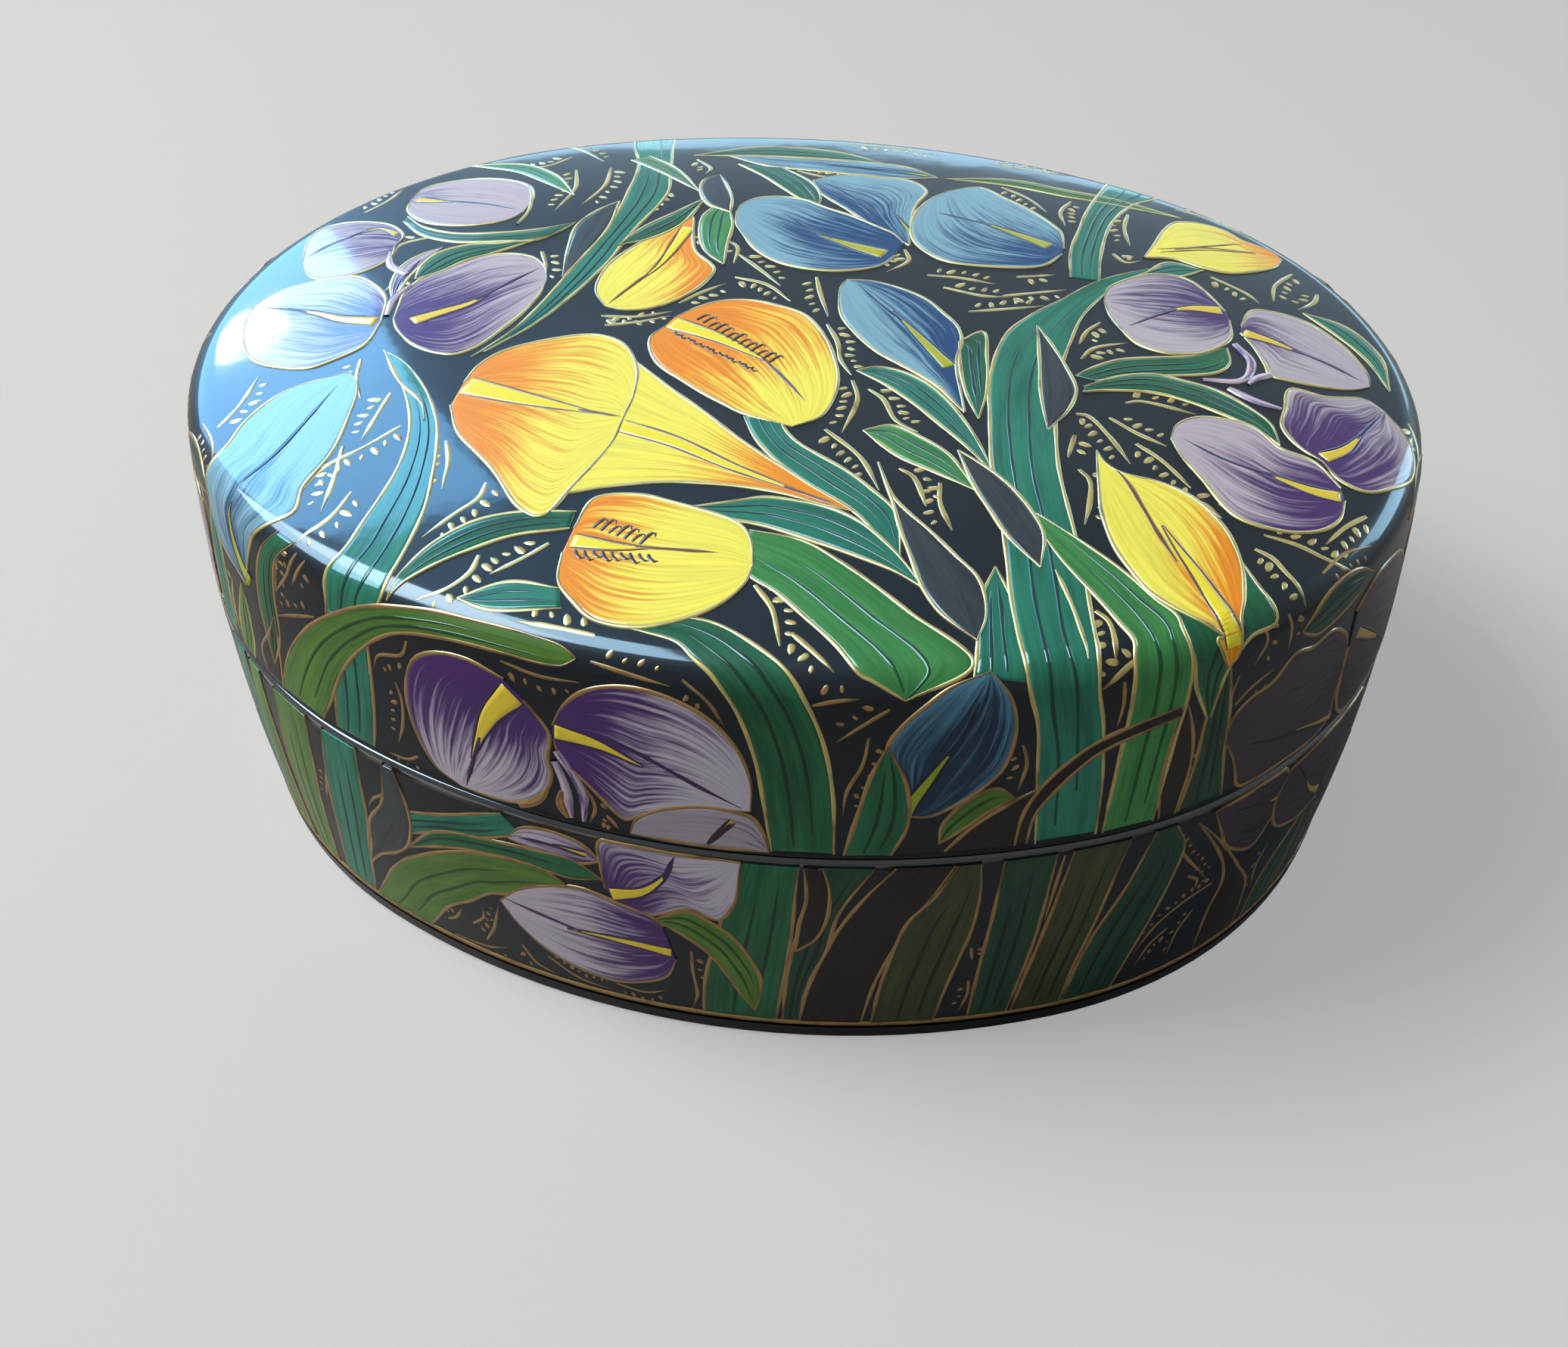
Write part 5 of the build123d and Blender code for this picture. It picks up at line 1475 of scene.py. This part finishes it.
class BOX_OT_gold_sprigs(bpy.types.Operator):
    """Draw the gold strokes and dots on the bare ground, and the line round the foot"""
    bl_idname = "box.gold_sprigs"
    bl_label = "Gold sprigs"

    def execute(self, context):
        skin, colours = scene_values(context)
        gold = material(gold_paint)
        for body in ("lid", "base"):
            paint_sprigs(skin, body, colours).build(body + "_gold_sprigs", gold)
        foot = Brushwork(skin, "base")
        line = FLOOR - SEAM + 0.42
        round_foot = [(s, line) for s in np.linspace(0, skin.turn_lengths[-1], 97)]
        # The foot line takes the walls' gold, darkened as painted shade
        foot.ribbon(skin.chart(round_foot, walls=True),
            0.5, 0.012, (colours.shaded_wall_gold, colours.shaded_wall_gold_thin),
                    ends=(1, 1), level=4)
        foot.build("foot_gold_line", gold)
        return {"FINISHED"}


class BOX_OT_inside_finishes(bpy.types.Operator):
    """Give the collar, linings, floor and pulp their finishes"""
    bl_idname = "box.inside_finishes"
    bl_label = "Inside finishes"

    def execute(self, context):
        colours = context.scene.box_colours
        finishes = {
            "base_floor": material(black_lacquer), "inner_collar": material(black_lacquer),
            "base_floor_lining": material(lining_paper, colours.inside),
            "lid_wall_lining": material(lining_paper, colours.inside),
            "lid_crown_lining": material(lining_paper, colours.inside),
            "base_wall": material(pulp_board), "lid_wall": material(pulp_board),
            "lid_crown": material(pulp_board),
        }
        for node, new in finishes.items():
            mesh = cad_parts[node].data
            mesh.materials.clear()
            mesh.materials.append(new)
        return {"FINISHED"}


class BOX_OT_stage(bpy.types.Operator):
    """Set out the floor, the studio light and the camera"""
    bl_idname = "box.stage"
    bl_label = "Stage"

    # The camera, from the box's own edges in the photograph: angles in radians, lengths in mm
    AZIMUTH, ELEVATION, ROLL = 0.183, 0.713, 0.010
    DISTANCE, ASIDE, ABOVE = 165.08, -0.886, 1.492
    FOCAL_PIXELS, PICTURE_WIDTH, SENSOR = 2300.0, 2072.0, 36.0

    def camera(self):
        back = Vector((sin(self.AZIMUTH) * cos(self.ELEVATION), -cos(self.AZIMUTH) * cos(self.ELEVATION),
                       sin(self.ELEVATION)))
        right = Vector((cos(self.AZIMUTH), sin(self.AZIMUTH), 0))
        up = back.cross(right)
        place = (back * self.DISTANCE + right * self.ASIDE + up * self.ABOVE) * MM
        turned_right = cos(self.ROLL) * right + sin(self.ROLL) * up
        turned_up = cos(self.ROLL) * up - sin(self.ROLL) * right
        data = bpy.data.cameras.new("photograph_view")
        data.sensor_width = self.SENSOR
        data.lens = self.FOCAL_PIXELS / self.PICTURE_WIDTH * self.SENSOR
        data.clip_start = 0.005
        camera = bpy.data.objects.new("photograph_view", data)
        camera.matrix_world = Matrix((turned_right, turned_up, back)).transposed().to_4x4()
        camera.location = place
        bpy.context.scene.collection.objects.link(camera)
        bpy.context.scene.camera = camera

    BACKDROP = "#DEE2E4"

    def shown(self, tree):
        """1 where a ray from the eye, straight or mirrored or through glass, meets the backdrop."""
        path = add(tree, "LightPath")
        seen = add(tree, "Math", {0: path.outputs["Is Camera Ray"],
            1: path.outputs["Is Glossy Ray"]}, operation="MAXIMUM")
        return add(tree, "Math", {0: seen.outputs[0],
            1: path.outputs["Is Transmission Ray"]}, operation="MAXIMUM").outputs[0]

    def lamp(self, name, place, size, power, colour, mirrored_only=False):
        data = bpy.data.lights.new(name, "AREA")
        data.shape = "RECTANGLE"
        data.size, data.size_y = size
        data.energy = power
        data.color = linear(colour)
        lamp = bpy.data.objects.new(name, data)
        lamp.location = place
        lamp.rotation_euler = (-Vector(place)).to_track_quat("-Z", "Y").to_euler()
        lamp.visible_diffuse = not mirrored_only
        bpy.context.scene.collection.objects.link(lamp)

    def execute(self, context):
        floor_points = np.array([[-900, -900, 0], [900, -900, 0], [900, 900, 0], [-900, 900, 0]], float)
        mesh = bpy.data.meshes.new("floor")
        mesh.from_pydata((floor_points * MM).tolist(), [], [[0, 1, 2, 3]])
        floor_material, tree = new_material("pale matt board")
        board = add(tree, "BsdfPrincipled", {"Base Color": rgba("#C8C7C5"),
            "Roughness": 0.8, "Specular IOR Level": 0.0})
        place = add(tree, "TexCoord").outputs["Object"]
        reach = add(tree, "VectorMath", {0: place}, operation="LENGTH").outputs["Value"]
        far_off = add(tree, "Math", {0: ramp(tree, reach, 0.12, 0.58),
            1: self.shown(tree)}, operation="MULTIPLY")
        near = add(tree, "Math", {0: add(tree, "LightPath").outputs["Is Camera Ray"],
            1: 0.45}, operation="MULTIPLY")
        amount = add(tree, "Math", {0: far_off.outputs[0], 1: near.outputs[0]}, operation="MAXIMUM")
        haze = add(tree, "Emission", {"Color": rgba(self.BACKDROP), "Strength": 1.0})
        faded = add(tree, "MixShader", {0: amount.outputs[0], 1: board.outputs[0], 2: haze.outputs[0]})
        add(tree, "OutputMaterial", {"Surface": faded.outputs[0]})
        mesh.materials.append(floor_material)
        floor = bpy.data.objects.new("floor", mesh)
        context.scene.collection.objects.link(floor)

        world = bpy.data.worlds.new("studio")
        context.scene.world = world
        world.use_nodes = True
        tree = world.node_tree
        tree.nodes.clear()
        seen = add(tree, "Background", {"Color": rgba(self.BACKDROP), "Strength": 1.0})
        light = add(tree, "Background", {"Color": rgba("#E8EEF4"), "Strength": 0.28})
        mix = add(tree, "MixShader", {0: self.shown(tree), 1: light.outputs[0], 2: seen.outputs[0]})
        add(tree, "OutputWorld", {"Surface": mix.outputs[0]})

        self.lamp("window", (-0.439, 0.365, 0.318), (0.39, 0.40), 12.0, "#78C0FC", mirrored_only=True)
        self.lamp("glint", (-0.316, 0.360, 0.239), (0.05, 0.035), 0.25, "#F4FAFE", mirrored_only=True)
        self.lamp("sky", (0.05, 0.62, 0.105), (0.70, 0.09), 2.0, "#A9DAF8", mirrored_only=True)
        self.lamp("side", (0.52, 0.40, 0.22), (0.30, 0.24), 4.4, "#A9DAF8", mirrored_only=True)
        self.lamp("skylight", (-0.54, -0.045, 0.72), (0.58, 0.84), 68.0, "#B4DEFC", mirrored_only=True)
        self.lamp("key", (-0.40, -0.04, 0.55), (0.36, 0.30), 4.7, "#FFF8EE")
        context.scene.view_settings.view_transform = "Standard"
        self.camera()
        return {"FINISHED"}


STEPS = (BOX_OT_ground_coats, BOX_OT_leaves, BOX_OT_petals, BOX_OT_petal_lines, BOX_OT_gold_outlines,
         BOX_OT_gold_sprigs, BOX_OT_inside_finishes, BOX_OT_stage)


class BOX_PT_steps(bpy.types.Panel):
    """Lists the steps in the order that they are painted"""
    bl_label = "Papier mache box"
    bl_idname = "BOX_PT_steps"
    bl_space_type = "VIEW_3D"
    bl_region_type = "UI"
    bl_category = "Box"

    def draw(self, context):
        for step in STEPS:
            self.layout.operator(step.bl_idname)


CLASSES = (BoxSizes, BoxColours, *STEPS, BOX_PT_steps)


def register():
    for cls in CLASSES:
        bpy.utils.register_class(cls)
    bpy.types.Scene.box_sizes = PointerProperty(type=BoxSizes)
    bpy.types.Scene.box_colours = PointerProperty(type=BoxColours)


def unregister():
    del bpy.types.Scene.box_colours
    del bpy.types.Scene.box_sizes
    for cls in reversed(CLASSES):
        bpy.utils.unregister_class(cls)


def main():
    register()
    for step in STEPS:
        group, name = step.bl_idname.split(".")
        getattr(getattr(bpy.ops, group), name)()


if __name__ == "__main__":
    main()
